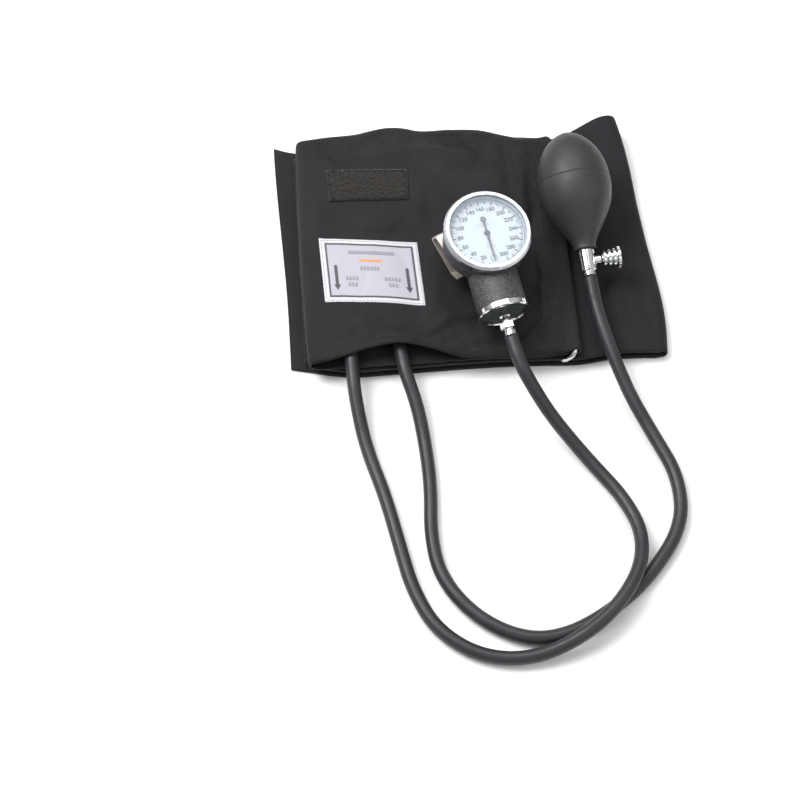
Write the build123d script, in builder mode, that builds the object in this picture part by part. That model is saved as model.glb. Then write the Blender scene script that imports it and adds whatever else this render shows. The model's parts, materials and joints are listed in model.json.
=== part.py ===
"""Aneroid blood pressure cuff kit: D-ring arm cuff, gauge, inflation bulb and their two hoses.

Frame: millimetres, +Z up, origin on the table under the middle of the folded cuff, +X along the
folded strip towards its D-ring end, +Y towards the cuff's back edge. The hoses leave towards -Y.
"""
from build123d import *
from math import cos, pi, radians, sin, tan
import os

os.makedirs("parts", exist_ok=True)

# ---------------------------------------------------------------- driving dimensions
# Folded cuff strip: three layers lying on each other, each of two cloth plies
CUFF_WIDTH = 158.0
PLY = 0.9
FOLDED_HALF_LENGTH = 108.0
LEFT_FOLD_X = -96.5             # outside of the fold between layers 1 and 2
TOP_OUTER_Z = 19.05             # middle heights of the plies, from the top layer down
TOP_INNER_Z = 10.2
MIDDLE_INNER_Z = 7.45
MIDDLE_OUTER_Z = 6.35
BOTTOM_OUTER_Z = 1.55
BOTTOM_INNER_Z = PLY / 2
TOP_LAYER_BACK = 71.0           # the top layer is shorter than the others at the back edge
CUFF_TOP = TOP_OUTER_Z + PLY / 2

# Bladder and its two moulded ports
BLADDER_X = (-84.0, 34.0)
BLADDER_Y = (-58.0, 62.0)
BLADDER_Z = (11.1, 18.3)
BLADDER_WALL = 1.0
PORT_XS = (-70.8, -43.8)
PORT_Z = 14.7
PORT_END_Y = -64.0
PORT_RADIUS = 3.7
HOSE_DIAMETER = 7.5
HOSE_BORE = 3.8

# D-ring and the hem that holds it
RING_WIRE = 3.0
RING_ENDS = (-81.5, 64.0)       # y of the ring's outsides, front and back
RING_INNER_BAR = (54.5, 13.4)   # x, z of the bar inside the hem
RING_OUTER_BAR = (46.5, 3.95)   # x, z of the bar under the middle layer
RING_CORNER = 5.0
HEM_ENDS = (-74.0, 57.0)        # y of the hem's ends, on the straight part of the bar
HEM_CLEARANCE = 0.1
GATHER_X = 50.5                 # where the ring gathers the middle layer's two edges
GATHER_LENGTH = 15.0
GATHER_INSET = 6.0              # from the ring's outsides: its bent corner and room to swing
GATHER_Z = (4.5, 9.0)

# Gauge
GAUGE_YAW = 10.5                # six o'clock turned from -Y towards +X
GAUGE_DIP = 7.0                 # six o'clock lower than the dial's centre
GAUGE_ROLL = 4.0                # dial leaning towards +X about the drum's axis
DIAL_XY = (8.1, -23.6)
RESTING_GAP = 0.3
BEZEL_RADIUS = 24.5
CASE_RADIUS = 23.2
CASE_BORE = 21.9
CASE_BACK = -13.0               # heights along the dial's normal, dial face at 0
DRUM_OFFSET = 14.3              # drum's axis behind the dial face
DRUM_RADIUS = 14.0
DRUM_BORE = 12.7
DRUM_START = 12.0               # distances from the dial's centre towards six o'clock
END_PLATE_S = 40.1              # inner face of the plate that closes the drum
DRUM_END = END_PLATE_S + 2.5
END_RING_RADIUS = 14.7
END_RING_FRONT_S = END_PLATE_S + 3.7
NIPPLE_END = END_PLATE_S + 16.5
PINION_TEETH = 12
SECTOR_TEETH_FULL = 120         # teeth that a whole wheel of the sector's size would have
GEAR_MODULE = 0.3
GEAR_CENTRES = GEAR_MODULE * (PINION_TEETH + SECTOR_TEETH_FULL) / 2 + 0.05
LEVER_ARM = 5.0
GEAR_LEVEL = -7.8
ARBOR_RADIUS = 0.5
ARBOR_CLEARANCE = 0.05

# Bulb and release valve; s runs along the bulb's axis from its middle towards the neck
BULB_CENTRE = (62.5, 18.3, 38.0)
BULB_AXIS = (0.068, -0.969, -0.239)
BULB_NECK_S = 42.0
VALVE_RADIUS = 4.85
VALVE_END_S = 54.5
HOSE_TAIL_END_S = 57.0
NEEDLE_S = 48.0

# ---------------------------------------------------------------- frames of the sub-assemblies
ahead = Vector(sin(radians(GAUGE_YAW)), -cos(radians(GAUGE_YAW)), 0)
level_side = Vector(cos(radians(GAUGE_YAW)), sin(radians(GAUGE_YAW)), 0)
six_oclock = ahead * cos(radians(GAUGE_DIP)) - Vector(0, 0, sin(radians(GAUGE_DIP)))
upright = six_oclock.cross(level_side)
dial_normal = level_side * sin(radians(GAUGE_ROLL)) + upright * cos(radians(GAUGE_ROLL))
three_oclock = level_side * cos(radians(GAUGE_ROLL)) - upright * sin(radians(GAUGE_ROLL))
# The dial's height puts the lowest point of the drum's end ring just above the cuff
ring_drop = END_RING_FRONT_S * sin(radians(GAUGE_DIP)) + END_RING_RADIUS * cos(radians(GAUGE_DIP))
dial_height = CUFF_TOP + RESTING_GAP + ring_drop + DRUM_OFFSET * dial_normal.Z
dial_centre = Vector(DIAL_XY[0], DIAL_XY[1], dial_height)
dial_plane = Plane(dial_centre, x_dir=three_oclock, z_dir=dial_normal)
# The drum's plane: x to three o'clock, z along the drum towards its inlet, so y points backwards
drum_plane = Plane(dial_centre - dial_normal * DRUM_OFFSET, x_dir=three_oclock, z_dir=six_oclock)
drum_axis = Axis(drum_plane.origin, six_oclock)
# Half-sections of turned parts on the drum's axis: x is the radius, y the distance along it
drum_section = Plane(drum_plane.origin, x_dir=three_oclock, z_dir=three_oclock.cross(six_oclock))

bulb_direction = Vector(*BULB_AXIS).normalized()
bulb_side = Vector(-bulb_direction.Y, bulb_direction.X, 0).normalized()
bulb_origin = Vector(*BULB_CENTRE)
bulb_axis = Axis(bulb_origin, bulb_direction)
bulb_section = Plane(bulb_origin, x_dir=bulb_side, z_dir=bulb_side.cross(bulb_direction))
# The release needle's axis crosses the valve body towards bulb_side
needle_origin = bulb_origin + bulb_direction * NEEDLE_S
needle_axis = Axis(needle_origin, bulb_side)
needle_plane = Plane(needle_origin, x_dir=bulb_direction, z_dir=bulb_side)
needle_section = Plane(
    needle_origin, x_dir=bulb_direction, z_dir=bulb_direction.cross(bulb_side)
)


def ring_gathers():
    """Blocks at the middle layer's edges, where the ring gathers it between its two ends."""
    with BuildPart() as blocks:
        with BuildSketch(Plane.XY.offset(GATHER_Z[0])):
            with Locations((GATHER_X, RING_ENDS[1] - GATHER_INSET)):
                Rectangle(GATHER_LENGTH, CUFF_WIDTH, align=(Align.CENTER, Align.MIN))
            with Locations((GATHER_X, RING_ENDS[0] + GATHER_INSET)):
                Rectangle(GATHER_LENGTH, CUFF_WIDTH, align=(Align.CENTER, Align.MAX))
        extrude(amount=GATHER_Z[1] - GATHER_Z[0])
    return blocks.part


def cloth_profile(path):
    """Plane of a ply's cross-section at the start of its path, with local x along the width."""
    return Plane(path.line @ 0, x_dir=(0, 1, 0), z_dir=path.line % 0)


# ---------------------------------------------------------------- cuff strip
hem_x = 51.0
slope_x = 39.0
outer_fold = (TOP_OUTER_Z - MIDDLE_OUTER_Z) / 2
inner_fold = (TOP_INNER_Z - MIDDLE_INNER_Z) / 2
fold_x = LEFT_FOLD_X + PLY / 2 + outer_fold
right_inner_fold = (MIDDLE_INNER_Z - BOTTOM_INNER_Z) / 2
right_outer_fold = (MIDDLE_OUTER_Z - BOTTOM_OUTER_Z) / 2
right_fold_x = FOLDED_HALF_LENGTH - PLY / 2 - right_inner_fold
right_fold_z = (MIDDLE_INNER_Z + BOTTOM_INNER_Z) / 2

with BuildPart() as outer_cover:
    with BuildLine(Plane.XZ) as outer_path:
        Polyline((hem_x, 14.6), (46, 14.6), (slope_x, TOP_OUTER_Z), (fold_x, TOP_OUTER_Z))
        ThreePointArc(
            (fold_x, TOP_OUTER_Z),
            (fold_x - outer_fold, TOP_OUTER_Z - outer_fold),
            (fold_x, MIDDLE_OUTER_Z),
        )
        Line((fold_x, MIDDLE_OUTER_Z), (right_fold_x, MIDDLE_OUTER_Z))
        ThreePointArc(
            (right_fold_x, MIDDLE_OUTER_Z),
            (right_fold_x + right_outer_fold, right_fold_z),
            (right_fold_x, BOTTOM_OUTER_Z),
        )
        Line((right_fold_x, BOTTOM_OUTER_Z), (-FOLDED_HALF_LENGTH, BOTTOM_OUTER_Z))
    with BuildSketch(cloth_profile(outer_path)):
        Rectangle(CUFF_WIDTH, PLY)
    sweep(transition=Transition.RIGHT)
    with BuildSketch(Plane.XY.offset(MIDDLE_OUTER_Z + PLY)):
        with Locations((0, TOP_LAYER_BACK)):
            Rectangle(300, 40, align=(Align.CENTER, Align.MIN))
    extrude(amount=30, mode=Mode.SUBTRACT)
    add(ring_gathers(), mode=Mode.SUBTRACT)
outer_cover.part.label = "outer_cover"
export_step(outer_cover.part, "parts/outer_cover.step")

with BuildPart() as inner_lining:
    with BuildLine(Plane.XZ) as inner_path:
        Polyline((hem_x, 12.3), (45, 12.3), (slope_x, TOP_INNER_Z), (fold_x, TOP_INNER_Z))
        ThreePointArc(
            (fold_x, TOP_INNER_Z),
            (fold_x - inner_fold, TOP_INNER_Z - inner_fold),
            (fold_x, MIDDLE_INNER_Z),
        )
        Line((fold_x, MIDDLE_INNER_Z), (right_fold_x, MIDDLE_INNER_Z))
        ThreePointArc(
            (right_fold_x, MIDDLE_INNER_Z),
            (right_fold_x + right_inner_fold, right_fold_z),
            (right_fold_x, BOTTOM_INNER_Z),
        )
        Line((right_fold_x, BOTTOM_INNER_Z), (-FOLDED_HALF_LENGTH, BOTTOM_INNER_Z))
    with BuildSketch(cloth_profile(inner_path)):
        Rectangle(CUFF_WIDTH, PLY)
    sweep(transition=Transition.RIGHT)
    with BuildSketch(Plane.XY.offset(MIDDLE_INNER_Z + PLY)):
        with Locations((0, TOP_LAYER_BACK)):
            Rectangle(300, 40, align=(Align.CENTER, Align.MIN))
    extrude(amount=30, mode=Mode.SUBTRACT)
    add(ring_gathers(), mode=Mode.SUBTRACT)
inner_lining.part.label = "inner_lining"
export_step(inner_lining.part, "parts/inner_lining.step")

# Rubber bladder: a flat hollow bag with two moulded ports that the hoses meet
bladder_middle = (sum(BLADDER_X) / 2, sum(BLADDER_Y) / 2)
bladder_size = (BLADDER_X[1] - BLADDER_X[0], BLADDER_Y[1] - BLADDER_Y[0])
with BuildPart() as bladder:
    with BuildSketch(Plane.XY.offset(BLADDER_Z[0])):
        with Locations(bladder_middle):
            RectangleRounded(bladder_size[0], bladder_size[1], 10)
    extrude(amount=BLADDER_Z[1] - BLADDER_Z[0])
    fillet(bladder.edges().filter_by(GeomType.LINE).filter_by(Axis.Z, reverse=True), radius=2.5)
    with BuildSketch(Plane.XZ.offset(-PORT_END_Y)):
        with Locations(*[(x, PORT_Z) for x in PORT_XS]):
            Circle(PORT_RADIUS)
    extrude(amount=-8)
    with BuildSketch(Plane.XY.offset(BLADDER_Z[0] + BLADDER_WALL)):
        with Locations(bladder_middle):
            RectangleRounded(bladder_size[0] - 6, bladder_size[1] - 6, 8)
    extrude(amount=BLADDER_Z[1] - BLADDER_Z[0] - 2 * BLADDER_WALL, mode=Mode.SUBTRACT)
    with BuildSketch(Plane.XZ.offset(-PORT_END_Y)):
        with Locations(*[(x, PORT_Z) for x in PORT_XS]):
            Circle(HOSE_BORE / 2)
    extrude(amount=-12, mode=Mode.SUBTRACT)
bladder.part.label = "bladder"
export_step(bladder.part, "parts/bladder.step")

# Hem loop: a cloth tube around the ring's inner bar, with a tail sewn between the plies
hem_bore = RING_WIRE / 2 + HEM_CLEARANCE
with BuildPart() as ring_hem:
    with BuildSketch(Plane.XZ.offset(-HEM_ENDS[1])):
        with Locations(RING_INNER_BAR):
            Circle(hem_bore + PLY)
        with Locations((RING_INNER_BAR[0] - hem_bore, RING_INNER_BAR[1])):
            Rectangle(10, 1.0, align=(Align.MAX, Align.CENTER))
        with Locations(RING_INNER_BAR):
            Circle(hem_bore, mode=Mode.SUBTRACT)
    extrude(amount=HEM_ENDS[1] - HEM_ENDS[0])
ring_hem.part.label = "ring_hem"
export_step(ring_hem.part, "parts/ring_hem.step")

# D-ring: one closed loop of round wire whose plane leans under the hem
ring_across = Vector(
    RING_INNER_BAR[0] - RING_OUTER_BAR[0], 0, RING_INNER_BAR[1] - RING_OUTER_BAR[1]
)
ring_middle = Vector(
    (RING_INNER_BAR[0] + RING_OUTER_BAR[0]) / 2,
    (RING_ENDS[0] + RING_ENDS[1]) / 2,
    (RING_INNER_BAR[1] + RING_OUTER_BAR[1]) / 2,
)
ring_plane = Plane(ring_middle, x_dir=(0, 1, 0), z_dir=Vector(0, 1, 0).cross(ring_across))
half_across = ring_across.length / 2
half_along = (RING_ENDS[1] - RING_ENDS[0] - RING_WIRE) / 2
with BuildPart() as d_ring:
    with BuildLine(ring_plane) as ring_loop:
        FilletPolyline(
            (half_along, -half_across),
            (half_along, half_across),
            (-half_along, half_across),
            (-half_along, -half_across),
            radius=RING_CORNER,
            close=True,
        )
    with BuildSketch(Plane(ring_loop.line @ 0, z_dir=ring_loop.line % 0)):
        Circle(RING_WIRE / 2)
    sweep()
d_ring.part.label = "d_ring"
export_step(d_ring.part, "parts/d_ring.step")

# Closure pieces and label on the cloth
with BuildPart() as hook_patch:
    with BuildSketch(Plane.XY.offset(CUFF_TOP)):
        with Locations(Location((-54.4, 37.8), -4.7)):
            RectangleRounded(47, 21.6, 0.8)
    extrude(amount=1.8)
hook_patch.part.label = "hook_patch"
export_step(hook_patch.part, "parts/hook_patch.step")

with BuildPart() as artery_label:
    with BuildSketch(Plane.XY.offset(CUFF_TOP)):
        with Locations(Location((-56.0, -21.9), -7.3)):
            RectangleRounded(56.5, 42.3, 0.6)
    extrude(amount=0.5)
artery_label.part.label = "artery_label"
export_step(artery_label.part, "parts/artery_label.step")

with BuildPart() as tail_loop_panel:
    with BuildSketch(Plane.XY.offset(BOTTOM_OUTER_Z + PLY / 2)):
        with Locations((-62, 0)):
            Rectangle(76, 142)
    extrude(amount=1.4)
tail_loop_panel.part.label = "tail_loop_panel"
export_step(tail_loop_panel.part, "parts/tail_loop_panel.step")

# ---------------------------------------------------------------- gauge case
with BuildPart() as gauge_case:
    with BuildSketch(dial_plane.offset(CASE_BACK)):
        Circle(CASE_RADIUS)
    extrude(amount=2.0 - CASE_BACK)
    with BuildSketch(drum_plane.offset(DRUM_START)):
        Circle(DRUM_RADIUS)
    extrude(amount=DRUM_END - 2.5 - DRUM_START)
    with BuildSketch(dial_plane.offset(CASE_BACK + 1.2)):
        Circle(CASE_BORE)
    extrude(amount=20, mode=Mode.SUBTRACT)
    with BuildSketch(drum_plane.offset(DRUM_START + 1.5)):
        Circle(DRUM_BORE)
    extrude(amount=DRUM_END, mode=Mode.SUBTRACT)
gauge_case.part.label = "gauge_case"
export_step(gauge_case.part, "parts/gauge_case.step")

# Bezel: a rolled ring on the case's rim, holding the crystal down on its gasket
dial_section = Plane(dial_centre, x_dir=three_oclock, z_dir=three_oclock.cross(dial_normal))
dial_axis = Axis(dial_centre, dial_normal)
with BuildPart() as bezel:
    with BuildSketch(dial_section):
        with BuildLine():
            Polyline((23.25, 0.1), (24.3, 0.1), (BEZEL_RADIUS, 1.2), (BEZEL_RADIUS, 3.4))
            Line((BEZEL_RADIUS, 3.4), (23.4, 5.2))
            Polyline((23.4, 5.2), (21.6, 5.2), (21.4, 4.4), (23.25, 4.4), (23.25, 0.1))
        make_face()
    revolve(axis=dial_axis)
bezel.part.label = "bezel"
export_step(bezel.part, "parts/bezel.step")

with BuildPart() as crystal_gasket:
    with BuildSketch(dial_plane.offset(2.0)):
        Circle(23.1)
        Circle(21.9, mode=Mode.SUBTRACT)
    extrude(amount=1.0)
crystal_gasket.part.label = "crystal_gasket"
export_step(crystal_gasket.part, "parts/crystal_gasket.step")

with BuildPart() as crystal:
    with BuildSketch(dial_plane.offset(3.0)):
        Circle(23.1)
    extrude(amount=1.3)
crystal.part.label = "crystal"
export_step(crystal.part, "parts/crystal.step")

with BuildPart() as dial_plate:
    with BuildSketch(dial_plane.offset(-0.6)):
        Circle(21.8)
        Circle(1.2, mode=Mode.SUBTRACT)
    extrude(amount=0.6)
dial_plate.part.label = "dial_plate"
export_step(dial_plate.part, "parts/dial_plate.step")

# ---------------------------------------------------------------- pointer and movement
POINTER_LEVEL = 0.7
with BuildPart() as pointer:
    with BuildSketch(dial_plane.offset(POINTER_LEVEL)):
        with BuildLine():
            Polyline((-0.65, 0), (-0.25, -16.8), (0.25, -16.8), (0.65, 0), (-0.65, 0))
        make_face()
        with Locations((0, 3.6)):
            Rectangle(0.9, 7.4)
        with Locations((0, 8.6)):
            Circle(1.5)
        Circle(1.7)
        with Locations((0, 8.6)):
            Circle(0.8, mode=Mode.SUBTRACT)
    extrude(amount=0.4)
    with BuildSketch(dial_plane.offset(POINTER_LEVEL)):
        Circle(1.1)
    extrude(amount=1.0)
pointer.part.label = "pointer"
export_step(pointer.part, "parts/pointer.step")

pivot_y = -((GEAR_CENTRES**2 - LEVER_ARM**2) ** 0.5)
pivot = (-LEVER_ARM, pivot_y)
pivot_bearing = 90 - Vector(LEVER_ARM, -pivot_y, 0).get_angle(Vector(0, 1, 0))
PLATE_BACK = CASE_BACK + 1.2
FRONT_PLATE = -3.4
PLATE_THICKNESS = 0.8


def gear_tooth(root, tip, half_root, half_tip):
    """One tooth's outline on the +X side of a wheel centred on the sketch's origin."""
    with BuildSketch() as tooth:
        Polygon(
            (root - 0.2, -half_root),
            (root, -half_root),
            (tip, -half_tip),
            (tip, half_tip),
            (root, half_root),
            (root - 0.2, half_root),
            align=None,
        )
    return tooth.sketch


# Pinion: its gap between two teeth faces the sector's pivot at rest
pinion_root = 1.45
pinion_tip = 2.02
pinion_tooth = gear_tooth(pinion_root, pinion_tip, 0.24, 0.12)
with BuildPart() as pinion_arbor:
    with BuildSketch(dial_plane.offset(GEAR_LEVEL - 0.6)):
        Circle(pinion_root)
        for index in range(PINION_TEETH):
            turn = pivot_bearing + 180 + (index + 0.5) * 360 / PINION_TEETH
            with Locations(Location((0, 0), turn)):
                add(pinion_tooth)
    extrude(amount=1.2)
    with BuildSketch(dial_plane.offset(PLATE_BACK + 0.2)):
        Circle(ARBOR_RADIUS)
    extrude(amount=POINTER_LEVEL - PLATE_BACK - 0.2)
pinion_arbor.part.label = "pinion_arbor"
export_step(pinion_arbor.part, "parts/pinion_arbor.step")

# Sector: teeth from the meshing line through the full scale, an arm, a hub and a lever tail
sector_root = 17.5
sector_tip = 18.25
sector_pitch = 360 / SECTOR_TEETH_FULL
sector_first = -13
sector_last = 2
sector_tooth = gear_tooth(sector_root, sector_tip, 0.26, 0.12)
rim_start = pivot_bearing + (sector_first - 0.5) * sector_pitch
rim_sweep = (sector_last - sector_first + 1) * sector_pitch
arm_turn = rim_start + rim_sweep / 2
sector_plane = dial_plane.offset(GEAR_LEVEL - 0.4)
with BuildPart() as sector_gear:
    with BuildSketch(sector_plane):
        with Locations(pivot):
            Circle(1.6)
        with BuildLine():
            rim_outer = CenterArc(pivot, sector_root, rim_start, rim_sweep)
            rim_inner = CenterArc(pivot, sector_root - 2.0, rim_start, rim_sweep)
            Line(rim_outer @ 0, rim_inner @ 0)
            Line(rim_outer @ 1, rim_inner @ 1)
        make_face()
        with Locations(Location(pivot, arm_turn)):
            Rectangle(sector_root - 1.0, 1.6, align=(Align.MIN, Align.CENTER))
        with Locations(pivot):
            Rectangle(LEVER_ARM + 1.0, 1.2, align=(Align.MIN, Align.CENTER))
        for index in range(sector_first, sector_last + 1):
            with Locations(Location(pivot, pivot_bearing + index * sector_pitch)):
                add(sector_tooth)
        with Locations(pivot):
            Circle(ARBOR_RADIUS, mode=Mode.SUBTRACT)
    extrude(amount=0.8)
sector_gear.part.label = "sector_gear"
export_step(sector_gear.part, "parts/sector_gear.step")

with BuildPart() as sector_arbor:
    with BuildSketch(dial_plane.offset(PLATE_BACK + 0.2)):
        with Locations(pivot):
            Circle(ARBOR_RADIUS)
    extrude(amount=FRONT_PLATE + PLATE_THICKNESS - 0.2 - PLATE_BACK - 0.2)
sector_arbor.part.label = "sector_arbor"
export_step(sector_arbor.part, "parts/sector_arbor.step")

pillar_places = [(-12.0, 1.5), (12.0, -1.0), (-4.0, 9.5)]


def movement_plate(level):
    """Pear-shaped plate that carries both arbors, with its two bearing holes."""
    with BuildPart() as plate:
        with BuildSketch(dial_plane.offset(level)):
            with BuildLine():
                CenterArc((0, 0), 13.5, 0, 360)
                CenterArc(pivot, 1.7, 0, 360)
            make_hull()
            Circle(ARBOR_RADIUS + ARBOR_CLEARANCE, mode=Mode.SUBTRACT)
            with Locations(pivot):
                Circle(ARBOR_RADIUS + ARBOR_CLEARANCE, mode=Mode.SUBTRACT)
        extrude(amount=PLATE_THICKNESS)
    return plate


movement_back_plate = movement_plate(PLATE_BACK)
movement_back_plate.part.label = "movement_back_plate"
export_step(movement_back_plate.part, "parts/movement_back_plate.step")

movement_front_plate = movement_plate(FRONT_PLATE)
movement_front_plate.part.label = "movement_front_plate"
export_step(movement_front_plate.part, "parts/movement_front_plate.step")

with BuildPart() as movement_pillars:
    with BuildSketch(dial_plane.offset(PLATE_BACK + PLATE_THICKNESS)):
        with Locations(*pillar_places):
            Circle(1.1)
    extrude(amount=FRONT_PLATE - PLATE_BACK - PLATE_THICKNESS)
movement_pillars.part.label = "movement_pillars"
export_step(movement_pillars.part, "parts/movement_pillars.step")

# Hairspring: a flat spiral of half turns, each a little wider than the last
HAIRSPRING_LEVEL = -5.4
HAIRSPRING_STEP = 0.35
with BuildPart() as hairspring:
    with BuildLine(dial_plane.offset(HAIRSPRING_LEVEL)) as spiral:
        start_x = 1.0
        for half_turn in range(8):
            side = 1 if half_turn % 2 == 0 else -1
            end_x = -side * (abs(start_x) + HAIRSPRING_STEP)
            middle_x = (start_x + end_x) / 2
            radius = abs(end_x - start_x) / 2
            ThreePointArc((start_x, 0), (middle_x, side * radius), (end_x, 0))
            start_x = end_x
    with BuildSketch(Plane(spiral.line @ 0, x_dir=dial_normal, z_dir=spiral.line % 0)):
        Rectangle(0.5, 0.12)
    sweep()
hairspring.part.label = "hairspring"
export_step(hairspring.part, "parts/hairspring.step")

# ---------------------------------------------------------------- capsule and drum end
with BuildPart() as capsule:
    with BuildSketch(drum_section):
        with BuildLine():
            Polyline(
                (0, 29.5), (1.6, 29.5), (1.6, 30.4), (4.0, 30.9), (6.0, 30.3), (8.0, 30.9),
                (10.6, 32.4), (10.6, 33.0), (8.0, 34.5), (6.0, 33.9), (4.0, 34.5), (2.0, 34.3),
                (2.0, END_PLATE_S), (0, END_PLATE_S), (0, 29.5),
            )
        make_face()
    revolve(axis=drum_axis)
capsule.part.label = "capsule"
export_step(capsule.part, "parts/capsule.step")

# Push link: an angle piece on the capsule's centre whose pin lifts the sector's tail
link_half = 0.75
pin_top = pivot_y - 0.6 - 0.3
with BuildPart() as capsule_push_link:
    with BuildSketch(drum_plane.offset(28.1)):
        with BuildLine():
            Polyline(
                (-link_half, 1.2), (link_half, 1.2), (link_half, -(DRUM_OFFSET + GEAR_LEVEL) - 0.8),
                (-link_half, -(DRUM_OFFSET + GEAR_LEVEL) - 0.8), (-link_half, 1.2),
            )
        make_face()
    extrude(amount=1.2)
    with BuildSketch(drum_plane.offset(28.1)):
        with Locations((0, -(DRUM_OFFSET + GEAR_LEVEL))):
            Circle(0.6)
    extrude(amount=-(28.1 + pin_top))
capsule_push_link.part.label = "capsule_push_link"
export_step(capsule_push_link.part, "parts/capsule_push_link.step")

# Parts on the drum's end, with distances from the end plate's inner face
END_PLATE = 1.5
end_section = Plane(
    drum_plane.origin + six_oclock * END_PLATE_S, x_dir=three_oclock, z_dir=drum_section.z_dir
)
with BuildPart() as drum_end_plate:
    with BuildSketch(end_section):
        Polygon((2.2, 0), (13.4, 0), (13.4, END_PLATE), (2.2, END_PLATE), align=None)
    revolve(axis=drum_axis)
drum_end_plate.part.label = "drum_end_plate"
export_step(drum_end_plate.part, "parts/drum_end_plate.step")

with BuildPart() as drum_end_ring:
    with BuildSketch(end_section):
        with BuildLine():
            Polyline(
                (DRUM_RADIUS, 0), (END_RING_RADIUS, 0.5), (END_RING_RADIUS, 3.1), (14.2, 3.7),
                (12.6, 3.7), (12.2, 3.1), (12.2, END_PLATE), (13.4, END_PLATE), (13.4, 0),
                (DRUM_RADIUS, 0),
            )
        make_face()
    revolve(axis=drum_axis)
drum_end_ring.part.label = "drum_end_ring"
export_step(drum_end_ring.part, "parts/drum_end_ring.step")

with BuildPart() as inlet_nipple:
    with BuildSketch(end_section):
        with BuildLine():
            Polyline(
                (0.9, 0), (2.2, 0), (2.2, END_PLATE), (3.6, END_PLATE), (3.6, 5.0), (2.5, 5.8),
                (2.5, 13.6), (3.5, 14.2), (3.5, 16.5), (0.9, 16.5), (0.9, 0),
            )
        make_face()
    revolve(axis=drum_axis)
inlet_nipple.part.label = "inlet_nipple"
export_step(inlet_nipple.part, "parts/inlet_nipple.step")

with BuildPart() as nipple_nut:
    with BuildSketch(drum_plane.offset(END_PLATE_S + 8.6)):
        RegularPolygon(4.4, 6)
        Circle(2.5, mode=Mode.SUBTRACT)
    extrude(amount=4.0)
    chamfer(nipple_nut.edges().filter_by(GeomType.LINE).filter_by(
        lambda edge: abs((edge % 0).dot(six_oclock)) < 0.5), length=0.35)
nipple_nut.part.label = "nipple_nut"
export_step(nipple_nut.part, "parts/nipple_nut.step")

with BuildPart() as nipple_pin:
    with BuildSketch(Plane(end_section.origin + six_oclock * 7.1 + level_side * 2.5,
                           z_dir=level_side)):
        Circle(0.8)
    extrude(amount=2.6)
nipple_pin.part.label = "nipple_pin"
export_step(nipple_pin.part, "parts/nipple_pin.step")

# ---------------------------------------------------------------- back clip
CLIP_TURN = 17.0
CLIP_WIDTH = 12.0
CLIP_SHEET = 1.0
clip_origin = dial_plane.from_local_coords(Vector(-16.5, 2.0, CASE_BACK))
clip_up = dial_plane.y_dir * cos(radians(CLIP_TURN)) - three_oclock * sin(radians(CLIP_TURN))
clip_across = three_oclock * cos(radians(CLIP_TURN)) + dial_plane.y_dir * sin(radians(CLIP_TURN))
# Section of the bent strip: x runs up the head, y along the dial's normal
clip_section = Plane(clip_origin, x_dir=clip_up, z_dir=clip_up.cross(dial_normal))
screw_spots = [(-2.5, 0), (4.5, 0)]
with BuildPart() as back_clip:
    with BuildLine(clip_section) as clip_path:
        FilletPolyline(
            (-5.0, -0.5), (10.5, -0.5), (12.5, -7.0), (-9.0, -12.5), (-14.5, -9.8), radius=1.6
        )
    with BuildSketch(Plane(clip_path.line @ 0, x_dir=clip_across, z_dir=clip_path.line % 0)):
        Rectangle(CLIP_WIDTH, CLIP_SHEET)
    sweep()
    with BuildSketch(Plane(clip_origin - dial_normal * 2, x_dir=clip_up, z_dir=dial_normal)):
        with Locations(*screw_spots):
            Circle(1.0)
    extrude(amount=2.5, mode=Mode.SUBTRACT)
back_clip.part.label = "back_clip"
export_step(back_clip.part, "parts/back_clip.step")

with BuildPart() as clip_screws:
    with BuildSketch(Plane(clip_origin - dial_normal * CLIP_SHEET, x_dir=clip_up,
                           z_dir=dial_normal)):
        with Locations(*screw_spots):
            Circle(1.9)
    extrude(amount=-1.0)
    with BuildSketch(Plane(clip_origin - dial_normal * CLIP_SHEET, x_dir=clip_up,
                           z_dir=dial_normal)):
        with Locations(*screw_spots):
            Circle(0.95)
    extrude(amount=CLIP_SHEET)
clip_screws.part.label = "clip_screws"
export_step(clip_screws.part, "parts/clip_screws.step")

# ---------------------------------------------------------------- inflation bulb
bulb_outside = [
    (4.4, -28.3), (8.6, -26.0), (13.2, -21.6), (17.2, -15.4), (20.0, -7.0), (20.9, 1.5),
    (20.7, 8.0), (18.8, 16.0), (14.6, 24.0), (10.4, 31.0), (7.0, 37.0), (6.1, BULB_NECK_S),
]
bulb_inside = [
    (4.3, BULB_NECK_S), (4.3, 36.5), (8.3, 30.2), (12.8, 22.8), (16.9, 15.0), (18.8, 6.0),
    (18.5, -4.0), (15.8, -13.0), (11.4, -20.0), (4.4, -24.6),
]
with BuildPart() as rubber_bulb:
    with BuildSketch(bulb_section):
        with BuildLine():
            Spline(*bulb_outside)
            Line(bulb_outside[-1], bulb_inside[0])
            Line(bulb_inside[0], bulb_inside[1])
            Spline(*bulb_inside[1:])
            Line(bulb_inside[-1], bulb_outside[0])
        make_face()
    revolve(axis=bulb_axis)
rubber_bulb.part.label = "rubber_bulb"
export_step(rubber_bulb.part, "parts/rubber_bulb.step")

# Intake valve in the tail: flange, barrel, seat, lifting disc and its keeper lip
SEAT_S = -26.9
with BuildPart() as inlet_valve_body:
    with BuildSketch(bulb_section):
        with BuildLine():
            Polyline(
                (1.2, -28.8), (4.0, -28.8), (4.3, -28.5), (4.3, -23.3), (2.2, -23.3), (2.2, -24.1),
                (3.2, -24.1), (3.2, SEAT_S), (1.2, SEAT_S), (1.2, -28.8),
            )
        make_face()
    revolve(axis=bulb_axis)
inlet_valve_body.part.label = "inlet_valve_body"
export_step(inlet_valve_body.part, "parts/inlet_valve_body.step")


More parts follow.
